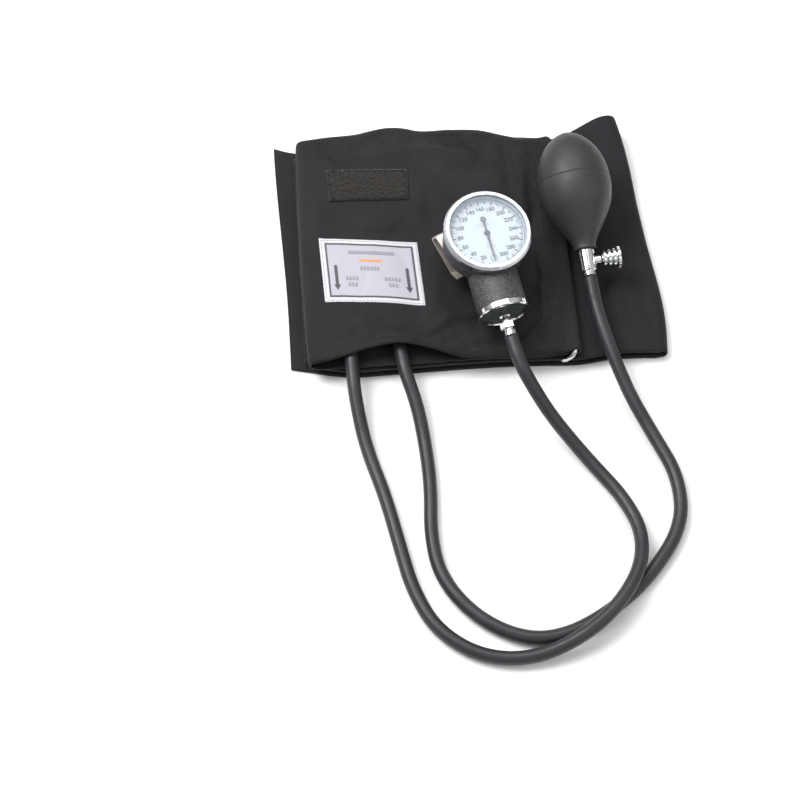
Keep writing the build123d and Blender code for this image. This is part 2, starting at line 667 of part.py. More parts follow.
def valve_disc(seat_s):
    """Flat lifting disc just clear of its seat."""
    with BuildPart() as disc:
        with BuildSketch(Plane(bulb_origin + bulb_direction * (seat_s + 0.05),
                               x_dir=bulb_side, z_dir=bulb_direction)):
            Circle(2.8)
        extrude(amount=0.9)
    return disc


inlet_valve_disc = valve_disc(SEAT_S)
inlet_valve_disc.part.label = "inlet_valve_disc"
export_step(inlet_valve_disc.part, "parts/inlet_valve_disc.step")

# Release valve: a turned body plugged in the neck, cross-bored for the needle
OUTLET_SEAT_S = 37.2
with BuildPart() as release_valve_body:
    with BuildSketch(bulb_section):
        with BuildLine():
            Polyline(
                (1.2, 36.0), (4.3, 36.0), (4.3, BULB_NECK_S), (VALVE_RADIUS, BULB_NECK_S + 0.4),
                (VALVE_RADIUS, VALVE_END_S - 0.4), (4.5, VALVE_END_S), (1.5, VALVE_END_S),
                (1.5, 40.2), (3.2, 40.2), (3.2, OUTLET_SEAT_S), (1.2, OUTLET_SEAT_S), (1.2, 36.0),
            )
        make_face()
    revolve(axis=bulb_axis)
    with BuildSketch(needle_plane.offset(3.0)):
        Circle(2.7)
    extrude(amount=4.4)
    with BuildSketch(needle_section):
        Polygon((0, 0), (0.6, 1.9), (1.25, 2.6), (1.25, 9), (0, 9), align=None)
    revolve(axis=needle_axis, mode=Mode.SUBTRACT)
release_valve_body.part.label = "release_valve_body"
export_step(release_valve_body.part, "parts/release_valve_body.step")

outlet_valve_disc = valve_disc(OUTLET_SEAT_S)
outlet_valve_disc.part.label = "outlet_valve_disc"
export_step(outlet_valve_disc.part, "parts/outlet_valve_disc.step")

with BuildPart() as release_needle:
    with BuildSketch(needle_section):
        Polygon((0, 2.1), (0.4, 2.3), (1.17, 3.3), (1.17, 16.2), (0, 16.2), align=None)
    revolve(axis=needle_axis)
release_needle.part.label = "release_needle"
export_step(release_needle.part, "parts/release_needle.step")

# Knurled knob: stacked ribs that widen away from the valve
KNOB_START = 7.8
KNOB_LENGTH = 11.0
KNOB_RIBS = 4
KNURLS = 20
rib_pitch = KNOB_LENGTH / KNOB_RIBS
with BuildPart() as release_knob:
    with BuildSketch(needle_section):
        with BuildLine():
            knob_points = [(1.25, KNOB_START), (2.4, KNOB_START)]
            for rib in range(KNOB_RIBS):
                rib_radius = 5.0 + 0.4 * rib
                low = KNOB_START + 0.6 + rib * rib_pitch
                knob_points += [
                    (rib_radius - 1.4, low), (rib_radius, low + 0.5),
                    (rib_radius, low + rib_pitch - 0.9), (rib_radius - 1.2, low + rib_pitch - 0.5),
                ]
            knob_points += [(1.25, KNOB_START + KNOB_LENGTH + 0.1), (1.25, KNOB_START)]
            Polyline(*knob_points)
        make_face()
    revolve(axis=needle_axis)
    with BuildSketch(needle_plane.offset(16.9)):
        Circle(1.3)
    extrude(amount=2.0)
    with BuildSketch(needle_plane.offset(KNOB_START)):
        with PolarLocations(6.45, KNURLS):
            Circle(0.5)
    extrude(amount=KNOB_LENGTH + 1, mode=Mode.SUBTRACT)
release_knob.part.label = "release_knob"
export_step(release_knob.part, "parts/release_knob.step")

with BuildPart() as hose_tail:
    with BuildSketch(bulb_section):
        Polygon((1.5, VALVE_END_S), (3.6, VALVE_END_S), (3.6, HOSE_TAIL_END_S),
                (1.5, HOSE_TAIL_END_S), align=None)
    revolve(axis=bulb_axis)
hose_tail.part.label = "hose_tail"
export_step(hose_tail.part, "parts/hose_tail.step")

# ---------------------------------------------------------------- hoses
TABLE_Z = HOSE_DIAMETER / 2
CROSSING_Z = TABLE_Z + 2 * HOSE_DIAMETER
gauge_end = drum_plane.origin + six_oclock * NIPPLE_END
gauge_lead = gauge_end + six_oclock * 15
bulb_end = bulb_origin + bulb_direction * HOSE_TAIL_END_S
bulb_lead = bulb_end + bulb_direction * 14

gauge_route = [
    (PORT_XS[0], PORT_END_Y, PORT_Z), (PORT_XS[0], -84, PORT_Z), (-69.3, -104, 9),
    (-65.5, -127, TABLE_Z), (-57.5, -155, TABLE_Z), (-52, -184, TABLE_Z), (-47, -210, TABLE_Z),
    (-36, -234, TABLE_Z), (-13, -250.5, TABLE_Z), (16, -253, 5), (48, -240, CROSSING_Z),
    (71, -215, CROSSING_Z), (78, -189, 9), (70.5, -165, TABLE_Z), (57, -145.5, 4.2),
    (45, -130, 9), (35, -118, 16.5), (26.5, -105.5, 25),
    gauge_lead.to_tuple(), gauge_end.to_tuple(),
]
bulb_route = [
    (PORT_XS[1], PORT_END_Y, PORT_Z), (PORT_XS[1], -84, PORT_Z), (-38.5, -103, 9.5),
    (-33.5, -124, TABLE_Z), (-32.5, -152, TABLE_Z), (-35, -180, TABLE_Z), (-31.5, -205, TABLE_Z),
    (-15, -228, TABLE_Z), (8, -241.5, TABLE_Z), (30, -241.5, TABLE_Z), (54, -230.5, TABLE_Z),
    (78, -212.5, TABLE_Z), (100, -184, TABLE_Z), (102, -155, TABLE_Z), (91.5, -129, 5),
    (82, -108, 9.5), (75.5, -88, 14.5), (70.5, -68.5, 18.5),
    bulb_lead.to_tuple(), bulb_end.to_tuple(),
]


def bend_radii(route):
    """Arc radius at each inner point of a route, as large as its two runs allow."""
    points = [Vector(*point) for point in route]
    radii = []
    for before, corner, after in zip(points, points[1:], points[2:]):
        turn = (corner - before).get_angle(after - corner)
        shorter = min((corner - before).length, (after - corner).length)
        radii.append(0.45 * shorter / tan(radians(turn) / 2))
    return radii


def hose(route):
    """Plain tube of the hose's outside diameter along straight runs joined by arcs."""
    with BuildPart() as tube:
        with BuildLine() as line:
            FilletPolyline(*route, radius=bend_radii(route))
        with BuildSketch(Plane(line.line @ 0, z_dir=line.line % 0)):
            Circle(HOSE_DIAMETER / 2)
        sweep(path=line.line)
    return tube, line.wire().length


gauge_hose, gauge_hose_length = hose(gauge_route)
gauge_hose.part.label = "gauge_hose"
export_step(gauge_hose.part, "parts/gauge_hose.step")

bulb_hose, bulb_hose_length = hose(bulb_route)
bulb_hose.part.label = "bulb_hose"
export_step(bulb_hose.part, "parts/bulb_hose.step")

section = pi * TABLE_Z**2
for title, route, piece, length in (
    ("gauge hose", gauge_route, gauge_hose, gauge_hose_length),
    ("bulb hose", bulb_route, bulb_hose, bulb_hose_length),
):
    radii = [round(value, 1) for value in bend_radii(route)]
    print(title, "length", round(length, 1), "smallest radius", min(radii), "radii", radii)
    print(title, "volume", round(piece.part.volume), "section x length", round(section * length))
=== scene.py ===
"""Looks of a blood pressure cuff kit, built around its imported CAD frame.

Metres throughout, in the CAD's own frame: the folded cuff lies on the floor at z = 0, with its
D-ring end towards +X and its hoses leaving towards -Y.
"""
import json
from math import cos, pi, radians, sin

import bpy
import numpy as np
from mathutils import Matrix, Vector
from mathutils.bvhtree import BVHTree


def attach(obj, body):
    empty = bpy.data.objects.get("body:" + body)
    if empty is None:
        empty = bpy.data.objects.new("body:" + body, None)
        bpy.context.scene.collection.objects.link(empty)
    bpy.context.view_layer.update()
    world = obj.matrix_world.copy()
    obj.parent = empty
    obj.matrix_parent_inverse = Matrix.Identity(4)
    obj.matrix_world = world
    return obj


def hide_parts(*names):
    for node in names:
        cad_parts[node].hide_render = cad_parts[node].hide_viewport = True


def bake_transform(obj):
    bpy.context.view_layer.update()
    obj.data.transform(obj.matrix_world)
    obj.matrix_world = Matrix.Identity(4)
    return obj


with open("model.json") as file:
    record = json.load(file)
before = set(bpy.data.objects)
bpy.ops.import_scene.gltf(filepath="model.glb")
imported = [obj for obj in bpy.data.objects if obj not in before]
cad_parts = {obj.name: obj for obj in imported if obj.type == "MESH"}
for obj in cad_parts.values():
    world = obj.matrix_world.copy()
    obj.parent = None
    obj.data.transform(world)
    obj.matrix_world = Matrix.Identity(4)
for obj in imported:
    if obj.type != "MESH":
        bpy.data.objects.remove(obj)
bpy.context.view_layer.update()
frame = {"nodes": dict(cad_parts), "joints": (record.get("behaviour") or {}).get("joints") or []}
joints = {joint["name"]: joint for joint in frame["joints"]}

MM = 0.001

# ---------------- sizes
PLY = 0.9 * MM
STRIP_WIDTH = 158 * MM
HEM_BAR = (54.5 * MM, 13.4 * MM)        # x and z of the D-ring's bar inside the hem
HEM_RADIUS = 2.6 * MM
LEFT_FOLD_X = -89.5 * MM                # where the top layer starts to turn under
TOP_OUTER_Z = 19.6 * MM
TOP_INNER_Z = 10.2 * MM
MIDDLE_INNER_Z = 7.45 * MM
MIDDLE_OUTER_Z = 6.35 * MM
BOTTOM_OUTER_Z = 1.55 * MM
BOTTOM_INNER_Z = 0.5 * MM
ROWS_ACROSS = 92
SETTLED_CAP = 2.6 * MM                  # how far the cloth simulation may move a point
PRESSED_Z = 19.15 * MM                  # how high the pad may stand under the gauge
GAUGE_REST = (10 * MM, -42 * MM)        # where the gauge's drum lies on the pad
HOSE_DIAMETER = 7.5 * MM
BLADDER_BOX = ((-84, -58, 11.2), (34, 62, 18.0))    # millimetres
PATCH_THICKNESS = 0.9 * MM
LABEL_THICKNESS = 0.45 * MM
FIELD_THICKNESS = 0.06 * MM
LOOP_TAPE_THICKNESS = 0.9 * MM
LOOP_TAPE_CENTRE = (-59 * MM, 3.0 * MM)             # x and z
LOOP_TAPE_HALF = (38 * MM, 71 * MM)
NUMBERS_RADIUS = 15.2 * MM
BULB_SIDES = 112
LINER_SIDES = 96
CAMERA_PLACE = (-0.07872, -0.55206, 0.86178)
CAMERA_TURN, CAMERA_TILT = radians(-4.2), radians(62)
CAMERA_LENS = 78.75                     # millimetres on a 36 mm sensor


# ---------------- small helpers
def smooth(t):
    """0 to 1 with level ends."""
    t = np.clip(t, 0, 1)
    return t * t * (3 - 2 * t)


def bump(distance, width):
    """A rounded hump, 1 at distance 0."""
    return np.exp(-((distance / width) ** 2))


def curve(x, *points):
    """A smooth curve y(x) through a few points given in millimetres, for x in metres."""
    xs, ys = (np.array(column, float) * MM for column in zip(*points))
    slopes = np.gradient(ys, xs)
    x = np.clip(x, xs[0], xs[-1])
    i = np.clip(np.searchsorted(xs, x, side="right") - 1, 0, len(xs) - 2)
    step = xs[i + 1] - xs[i]
    t = (x - xs[i]) / step
    return (
        (2 * t**3 - 3 * t**2 + 1) * ys[i]
        + (t**3 - 2 * t**2 + t) * step * slopes[i]
        + (3 * t**2 - 2 * t**3) * ys[i + 1]
        + (t**3 - t**2) * step * slopes[i + 1]
    )


def mesh_piece(name, vertices, faces, material, soft=True):
    """A mesh object from plain lists, smooth shaded where soft."""
    mesh = bpy.data.meshes.new(name)
    mesh.from_pydata([tuple(map(float, v)) for v in vertices], [], faces)
    mesh.update()
    mesh.polygons.foreach_set("use_smooth", [soft] * len(mesh.polygons))
    mesh.materials.append(material)
    piece = bpy.data.objects.new(name, mesh)
    bpy.context.scene.collection.objects.link(piece)
    return piece


def grid_faces(rows, columns, around=False):
    """Quads between neighbouring rows and columns of points stored row by row."""
    faces = []
    for i in range(rows - 1):
        for j in range(columns if around else columns - 1):
            k = (j + 1) % columns
            near, far = i * columns, (i + 1) * columns
            faces.append((near + j, far + j, far + k, near + k))
    return faces


def flipped(faces):
    """The same faces, looking the other way."""
    return [tuple(reversed(face)) for face in faces]


def ring_faces(rings, around):
    """Faces of a ring of closed section, facing out, from its section's points."""
    faces = grid_faces(rings, around, around=True)
    last = (rings - 1) * around
    faces += [(last + k, k, (k + 1) % around, last + (k + 1) % around) for k in range(around)]
    return flipped(faces)


def slab_faces(n):
    """Faces of a slab whose top outline comes first, then its under outline."""
    faces = [tuple(range(n)), tuple(reversed(range(n, 2 * n)))]
    return faces + [(k, n + k, n + (k + 1) % n, (k + 1) % n) for k in range(n)]


def points_and_faces(name, data):
    """The plain mesh that a curve or text makes, which is then removed."""
    holder = bpy.data.objects.new(name, data)
    mesh = bpy.data.meshes.new_from_object(holder)
    points = [v.co.copy() for v in mesh.vertices]
    faces = [tuple(p.vertices) for p in mesh.polygons]
    bpy.data.meshes.remove(mesh)
    bpy.data.objects.remove(holder)
    bpy.data.curves.remove(data)
    return points, faces


def distances_along(points):
    """How far along a line each of its points is."""
    steps = np.linalg.norm(np.diff(points, axis=0), axis=1)
    return np.concatenate([[0], np.cumsum(steps)])


def applied(piece):
    """The piece again with its modifiers turned into plain mesh."""
    depsgraph = bpy.context.evaluated_depsgraph_get()
    mesh = bpy.data.meshes.new_from_object(piece.evaluated_get(depsgraph))
    piece.modifiers.clear()
    piece.data = mesh
    return piece


def thickened(piece, thickness, offset=0.0):
    """Gives an open sheet its thickness."""
    solidify = piece.modifiers.new("thickness", "SOLIDIFY")
    solidify.thickness = thickness
    solidify.offset = offset
    solidify.use_even_offset = True
    return applied(piece)


def joined(name, parts, material, soft=False):
    """One mesh piece from several (vertices, faces) pairs."""
    vertices, faces = [], []
    for part_vertices, part_faces in parts:
        start = len(vertices)
        vertices += [tuple(v) for v in part_vertices]
        faces += [tuple(start + k for k in face) for face in part_faces]
    return mesh_piece(name, vertices, faces, material, soft)


# ---------------- materials
class Finish:
    """A node material under construction, with its shader and object coordinates at hand."""

    def __init__(self, name, colour, roughness, metallic=0.0):
        self.material = bpy.data.materials.new(name)
        self.material.use_nodes = True
        self.nodes = self.material.node_tree.nodes
        self.links = self.material.node_tree.links
        self.shader = self.nodes["Principled BSDF"]
        self.shader.inputs["Base Color"].default_value = (*colour, 1)
        self.shader.inputs["Roughness"].default_value = roughness
        self.shader.inputs["Metallic"].default_value = metallic
        self.place = self.nodes.new("ShaderNodeTexCoord").outputs["Object"]
        self.height = None

    def noise(self, size, detail=3.0, stretch=(1, 1, 1)):
        """Noise whose features are about size metres across."""
        mapping = self.nodes.new("ShaderNodeMapping")
        mapping.inputs["Scale"].default_value = stretch
        self.links.new(self.place, mapping.inputs["Vector"])
        node = self.nodes.new("ShaderNodeTexNoise")
        node.inputs["Scale"].default_value = 1 / size
        node.inputs["Detail"].default_value = detail
        self.links.new(mapping.outputs["Vector"], node.inputs["Vector"])
        return node.outputs["Fac"]

    def bands(self, pitch, direction, distortion=0.0):
        """Parallel ridges, pitch metres apart, across X, Y or Z."""
        node = self.nodes.new("ShaderNodeTexWave")
        node.bands_direction = direction
        node.inputs["Scale"].default_value = 2 * pi / (20 * pitch)
        node.inputs["Distortion"].default_value = distortion
        node.inputs["Detail"].default_value = 1.0
        self.links.new(self.place, node.inputs["Vector"])
        return node.outputs["Fac"]

    def mix_values(self, operation, first, second):
        node = self.nodes.new("ShaderNodeMath")
        node.operation = operation
        for socket, value in zip(node.inputs, (first, second)):
            if isinstance(value, (int, float)):
                socket.default_value = value
            else:
                self.links.new(value, socket)
        return node.outputs[0]

    def ramp(self, value, low, high, start=0.3, end=0.7):
        """Colours or greys that follow a value."""
        node = self.nodes.new("ShaderNodeValToRGB")
        node.color_ramp.elements[0].position = start
        node.color_ramp.elements[1].position = end
        node.color_ramp.elements[0].color = (*low, 1)
        node.color_ramp.elements[1].color = (*high, 1)
        self.links.new(value, node.inputs["Fac"])
        return node.outputs["Color"]

    def colour_by(self, value, low, high, start=0.3, end=0.7):
        self.links.new(self.ramp(value, low, high, start, end), self.shader.inputs["Base Color"])
        return self

    def roughness_by(self, value, low, high, start=0.3, end=0.7):
        greys = self.ramp(value, (low,) * 3, (high,) * 3, start, end)
        self.links.new(greys, self.shader.inputs["Roughness"])
        return self

    def raise_by(self, value, depth, strength=1.0):
        """Adds a bump of that depth in metres; later ones lie on earlier ones."""
        node = self.nodes.new("ShaderNodeBump")
        node.inputs["Distance"].default_value = depth
        node.inputs["Strength"].default_value = strength
        self.links.new(value, node.inputs["Height"])
        if self.height is not None:
            self.links.new(self.height, node.inputs["Normal"])
        self.height = node.outputs["Normal"]
        self.links.new(self.height, self.shader.inputs["Normal"])
        return self

    def set(self, **values):
        for name, value in values.items():
            self.shader.inputs[name.replace("_", " ")].default_value = value
        return self


def cloth(name, dark, light, thread, depth, sheen):
    """Plain-woven cloth: two crossing sets of threads, with broad blotches of painted light and shade.
    """
    finish = Finish(name, dark, 0.75)
    # broad blotches of painted light and shade, about 24 mm across, lighten and darken the colour;
    # they also vary the roughness
    painted_light_blotches = finish.noise(24 * MM, 4)
    weave = finish.mix_values(
        "MULTIPLY", finish.bands(thread, "X", 0.6), finish.bands(thread, "Y", 0.6)
    )
    shade = finish.mix_values("MULTIPLY_ADD", weave, 0.35)
    finish.links.new(painted_light_blotches, shade.node.inputs[2])
    finish.colour_by(shade, dark, light, 0.35, 0.95)
    finish.roughness_by(painted_light_blotches, 0.62, 0.85)
    finish.raise_by(finish.noise(7 * MM, 3), 0.5 * MM, 0.35)
    finish.raise_by(weave, depth, 0.6)
    return finish.set(Sheen_Weight=sheen, Sheen_Roughness=0.45, Specular_IOR_Level=0.22).material


def fuzzy(name, dark, light):
    """Hook or loop tape: a mat of tiny rough hairs."""
    finish = Finish(name, dark, 0.9)
    hairs = finish.noise(0.7 * MM, 4)
    finish.colour_by(hairs, dark, light, 0.4, 0.72)
    finish.raise_by(hairs, 0.8 * MM, 0.9)
    return finish.set(Sheen_Weight=0.25, Specular_IOR_Level=0.2).material


def rubber(name, dark, light, rough):
    """Moulded rubber with a bloom of dust and a very fine mould grain."""
    finish = Finish(name, dark, 0.5)
    bloom = finish.noise(16 * MM, 5)
    finish.colour_by(bloom, dark, light, 0.3, 0.75)
    finish.roughness_by(finish.noise(5 * MM, 4), rough - 0.06, rough + 0.06)
    finish.raise_by(finish.noise(0.35 * MM, 2), 0.04 * MM, 0.5)
    return finish.set(Specular_IOR_Level=0.42).material


def plated(name, colour, rough):
    """Bright plating with faint ripples and handling marks."""
    finish = Finish(name, colour, rough, 1.0)
    marks = finish.noise(3 * MM, 5)
    finish.roughness_by(marks, rough * 0.7, rough * 1.6)
    finish.raise_by(finish.noise(1.6 * MM, 3), 0.03 * MM, 0.35)
    return finish.material


def ground_metal(name, low, high, rough):
    """Ground or rolled sheet metal with fine lines."""
    finish = Finish(name, low, rough, 1.0)
    lines = finish.noise(0.5 * MM, 4, (1, 12, 1))
    finish.colour_by(lines, low, high)
    finish.roughness_by(lines, rough * 0.8, rough * 1.3)
    finish.raise_by(lines, 0.02 * MM, 0.4)
    return finish.material


def wrinkle_paint():
    """Black crackle paint on the gauge's case and drum, with painted highlights: its raised crackle is
    coloured light grey.
    """
    finish = Finish("wrinkle_paint", (0.03, 0.03, 0.033), 0.5)
    crackle = finish.noise(0.75 * MM, 3)
    # painted highlights: the raised crackle is coloured light grey, the hollows near black
    finish.colour_by(crackle, (0.014, 0.014, 0.016), (0.13, 0.13, 0.135), 0.42, 0.74)
    finish.roughness_by(crackle, 0.36, 0.6)
    finish.raise_by(crackle, 0.35 * MM, 0.8)
    return finish.set(Specular_IOR_Level=0.55).material


def dial_face():
    """Pale bluish-white printed metal."""
    finish = Finish("dial_face", (0.54, 0.6, 0.65), 0.45)
    finish.colour_by(finish.noise(6 * MM, 2), (0.52, 0.58, 0.635), (0.55, 0.61, 0.665))
    finish.raise_by(finish.noise(0.3 * MM, 2), 0.01 * MM, 0.3)
    return finish.material


def crystal():
    """Clear, thin, slightly bluish cover that lets the light straight through."""
    finish = Finish("crystal_clear", (0.85, 0.93, 1.0), 0.04)
    finish.roughness_by(finish.noise(8 * MM, 3), 0.02, 0.07)
    finish.set(Alpha=0.1, IOR=1.49, Specular_IOR_Level=0.6)
    return finish.material


def printed(name, colour, grain=0.25 * MM):
    """A thin layer of ink on cloth or metal; also the flat colour of painted shade."""
    finish = Finish(name, colour, 0.6)
    speckle = finish.noise(grain, 3)
    finish.colour_by(speckle, tuple(0.85 * c for c in colour), tuple(min(1, 1.15 * c) for c in colour))
    finish.raise_by(speckle, 0.02 * MM, 0.3)
    return finish.material


def woven_label(name, low, high):
    """Satin-woven label ribbon with fine cross threads."""
    finish = Finish(name, low, 0.6)
    ribs = finish.bands(0.5 * MM, "Y", 0.3)
    finish.colour_by(ribs, low, high, 0.1, 0.9)
    finish.raise_by(ribs, 0.06 * MM, 0.5)
    finish.raise_by(finish.noise(3 * MM, 2), 0.1 * MM, 0.3)
    return finish.set(Sheen_Weight=0.1).material


NYLON = cloth("nylon", (0.006, 0.006, 0.0072), (0.025, 0.0245, 0.0275), 0.55 * MM, 0.12 * MM, 0.05)
LINING = cloth("lining", (0.006, 0.006, 0.008), (0.023, 0.023, 0.027), 0.45 * MM, 0.1 * MM, 0.05)
THREAD = cloth("thread", (0.016, 0.016, 0.018), (0.04, 0.039, 0.042), 0.3 * MM, 0.08 * MM, 0.1)
PALE_THREAD = cloth("pale_thread", (0.36, 0.35, 0.37), (0.52, 0.51, 0.54), 0.3 * MM, 0.05 * MM, 0.1)
HOOK_TAPE = fuzzy("hook_tape", (0.005, 0.0045, 0.004), (0.045, 0.039, 0.034))
LOOP_TAPE = fuzzy("loop_tape", (0.005, 0.005, 0.006), (0.02, 0.02, 0.022))
LABEL_EDGE = woven_label("label_edge", (0.53, 0.52, 0.55), (0.64, 0.63, 0.66))
LABEL_FIELD = woven_label("label_field", (0.37, 0.365, 0.42), (0.45, 0.445, 0.5))
LABEL_INK = printed("label_ink", (0.06, 0.06, 0.07))
LABEL_GREY = printed("label_grey", (0.26, 0.26, 0.3))
LABEL_ORANGE = printed("label_orange", (0.85, 0.3, 0.12))
HOSE_RUBBER = rubber("hose_rubber", (0.017, 0.018, 0.0205), (0.029, 0.0305, 0.034), 0.42)
BULB_RUBBER = rubber("bulb_rubber", (0.024, 0.024, 0.0262), (0.035, 0.035, 0.038), 0.5)
BLADDER_RUBBER = rubber("bladder_rubber", (0.035, 0.035, 0.038), (0.055, 0.055, 0.06), 0.5)
CHROME = plated("chrome", (0.7, 0.71, 0.72), 0.12)
BEZEL_CHROME = plated("bezel_chrome", (0.5, 0.515, 0.54), 0.24)
STEEL = ground_metal("steel", (0.5, 0.5, 0.51), (0.68, 0.68, 0.69), 0.28)
BRASS = ground_metal("brass", (0.58, 0.42, 0.17), (0.78, 0.6, 0.28), 0.3)
NICKEL = ground_metal("clip_nickel", (0.62, 0.57, 0.52), (0.82, 0.77, 0.71), 0.42)
WRINKLE_PAINT = wrinkle_paint()
# painted shade and reflection: the drum's end plate is coloured a dark greenish black, as it looks in
# shadow reflecting the cuff, instead of as plating
END_PLATE_PAINTED_SHADE = printed("end_plate", (0.028, 0.034, 0.033), 0.8 * MM)
POINTER_BLACK = printed("pointer_black", (0.02, 0.02, 0.024), 0.5 * MM)
DIAL_FACE = dial_face()
# painted shade: the bluish grey inside the dial's bezel, carried by the tapered rim ring
RIM_SHADE = printed("rim_liner", (0.42, 0.49, 0.57), 2 * MM)
DIAL_INK = printed("dial_ink", (0.035, 0.04, 0.05))
DIAL_PALE_INK = printed("dial_pale_ink", (0.34, 0.38, 0.44))
CRYSTAL = crystal()

FINISHES = [
    (CHROME, "d_ring drum_end_ring inlet_nipple nipple_nut nipple_pin inlet_valve_body "
             "release_valve_body release_knob hose_tail"),
    (BEZEL_CHROME, "bezel"),
    (STEEL, "pinion_arbor sector_arbor hairspring clip_screws release_needle"),
    (BRASS, "sector_gear movement_back_plate movement_front_plate movement_pillars capsule "
            "capsule_push_link"),
    (NICKEL, "back_clip"),
    (WRINKLE_PAINT, "gauge_case"),
    (END_PLATE_PAINTED_SHADE, "drum_end_plate"),
    (POINTER_BLACK, "pointer"),
    (DIAL_FACE, "dial_plate"),
    (CRYSTAL, "crystal"),
    (BLADDER_RUBBER, "crystal_gasket inlet_valve_disc outlet_valve_disc"),
]
for finish_material, names in FINISHES:
    for name in names.split():
        slots = frame["nodes"][name].data.materials
        slots.clear()
        slots.append(finish_material)


# ---------------- camera
def add_camera():
    """A long lens from above the front, where the hoses lie nearest."""
    level = cos(CAMERA_TILT)
    back = Vector((sin(CAMERA_TURN) * level, -cos(CAMERA_TURN) * level, sin(CAMERA_TILT)))
    camera = bpy.data.objects.new("camera", bpy.data.cameras.new("camera"))
    bpy.context.scene.collection.objects.link(camera)
    camera.data.sensor_width = 36
    camera.data.lens = CAMERA_LENS
    camera.data.clip_start = 0.05
    camera.location = CAMERA_PLACE
    camera.rotation_mode = "QUATERNION"
    camera.rotation_quaternion = (-back).to_track_quat("-Z", "Y")
    bpy.context.scene.camera = camera


add_camera()


# ---------------- hoses
def spline_points(name, route):
    """The points down the middle of a NURBS spline whose control points are the route's."""
    data = bpy.data.curves.new(name, "CURVE")
    data.dimensions = "3D"
    data.resolution_u = 14
    spline = data.splines.new("NURBS")
    spline.points.add(len(route) - 1)
    for point, place in zip(spline.points, route):
        point.co = (*place, 1)
    spline.order_u = 3
    spline.use_endpoint_u = True
    return np.array(points_and_faces(name, data)[0], float)


def tube(points, radii, sides=28):
    """Vertices and faces of a closed tube along points, without twist."""
    tangents = np.gradient(points, axis=0)
    tangents /= np.linalg.norm(tangents, axis=1)[:, None]
    side = np.cross(tangents[0], (0, 0, 1.0))
    vertices = []
    for point, tangent, radius in zip(points, tangents, radii):
        side = side - tangent * (side @ tangent)
        side /= np.linalg.norm(side)
        other = np.cross(tangent, side)
        for k in range(sides):
            angle = 2 * pi * k / sides
            vertices.append(point + radius * (side * cos(angle) + other * sin(angle)))
    faces = grid_faces(len(points), sides, around=True)
    last = (len(points) - 1) * sides
    faces.append(tuple(reversed(range(sides))))
    faces.append(tuple(range(last, last + sides)))
    return vertices, flipped(faces)


def hose(name, node, route):
    """A rubber hose from a bladder port to a piece that can be lifted off the cuff."""
    points = spline_points(name, route)
    along = distances_along(points)
    to_end = along[-1] - along
    radii = HOSE_DIAMETER / 2 * (
        1 + 0.05 * smooth((16 * MM - to_end) / (5 * MM)) + 0.006 * np.sin(along / (23 * MM))
    )
    radii[-1] *= 0.93
    radii[0] *= 0.98
    piece = mesh_piece(name, *tube(points, radii), HOSE_RUBBER)
    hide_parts(node)
    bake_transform(piece)
    return piece


GAUGE_ROUTE = [
    (-0.0708, -0.064, 0.0147), (-0.0708, -0.084, 0.0147), (-0.0693, -0.104, 0.009),
    (-0.0655, -0.127, 0.00375), (-0.0575, -0.155, 0.00375), (-0.052, -0.184, 0.00375),
    (-0.047, -0.210, 0.00375), (-0.036, -0.234, 0.00375), (-0.013, -0.2505, 0.00375),
    (0.016, -0.253, 0.005), (0.048, -0.240, 0.0122), (0.071, -0.215, 0.0122),
    (0.078, -0.189, 0.007), (0.0705, -0.165, 0.00375), (0.057, -0.1455, 0.0042),
    (0.045, -0.130, 0.009), (0.035, -0.118, 0.0165), (0.0265, -0.1055, 0.025),
    (0.01976, -0.09195, 0.03100), (0.01704, -0.07731, 0.03283),
]
BULB_ROUTE = [
    (-0.0438, -0.064, 0.0147), (-0.0425, -0.082, 0.0145), (-0.0365, -0.102, 0.0092),
    (-0.0335, -0.124, 0.00375), (-0.0325, -0.152, 0.00375), (-0.035, -0.180, 0.00375),
    (-0.0315, -0.205, 0.00375), (-0.015, -0.228, 0.00375), (0.008, -0.2415, 0.00375),
    (0.030, -0.2415, 0.00375), (0.054, -0.2305, 0.00375), (0.078, -0.2125, 0.00375),
    (0.100, -0.184, 0.00375), (0.102, -0.155, 0.00375), (0.0915, -0.129, 0.005),
    (0.082, -0.108, 0.0095), (0.0755, -0.088, 0.0145), (0.0705, -0.0685, 0.0185),
    (0.0673, -0.0505, 0.0210), (0.06637, -0.03691, 0.02438),
]
gauge_hose = hose("gauge_hose_rubber", "gauge_hose", GAUGE_ROUTE)
bulb_hose = hose("bulb_hose_rubber", "bulb_hose", BULB_ROUTE)


# ---------------- cuff cloth
# Each layer's front and back edge as curves over x, in millimetres
def top_front(x):
    return curve(x, (-97, -77.2), (-86, -76.8), (-74, -75.2), (-60, -72.6), (-44, -71.4),
                 (-29, -73.4), (-10, -78.4), (12, -79.4), (38, -80), (57, -78.5))


def top_front_height(x):
    return curve(x, (-97, 13), (-86, 16), (-74, 19.2), (-60, 22), (-44, 23.3), (-29, 20.3),
                 (-10, 14.6), (12, 13.4), (38, 13.2), (57, 13.4))


def top_back(x):
    return curve(x, (-97, 73.5), (-77, 75), (-57, 76), (-49, 77.8), (-43, 78.8), (-30, 77.8),
                 (-24, 75.8), (-3, 75), (15, 73.3), (28, 69), (40, 66), (50, 66.6), (54, 67.2),
                 (57, 64.6))


def top_back_height(x):
    return curve(x, (-97, 16), (-60, 17), (10, 17), (40, 16.4), (57, 15))


def low_front(x):
    return curve(x, (-109, -70.5), (-104, -72), (-94, -74.3), (-83, -77.1), (-72, -78.9),
                 (-48, -79), (-4, -78.4), (17, -78.6), (38, -79.5), (57, -80.3), (77, -78.2),
                 (92, -78.4), (105, -78), (109, -75.5))


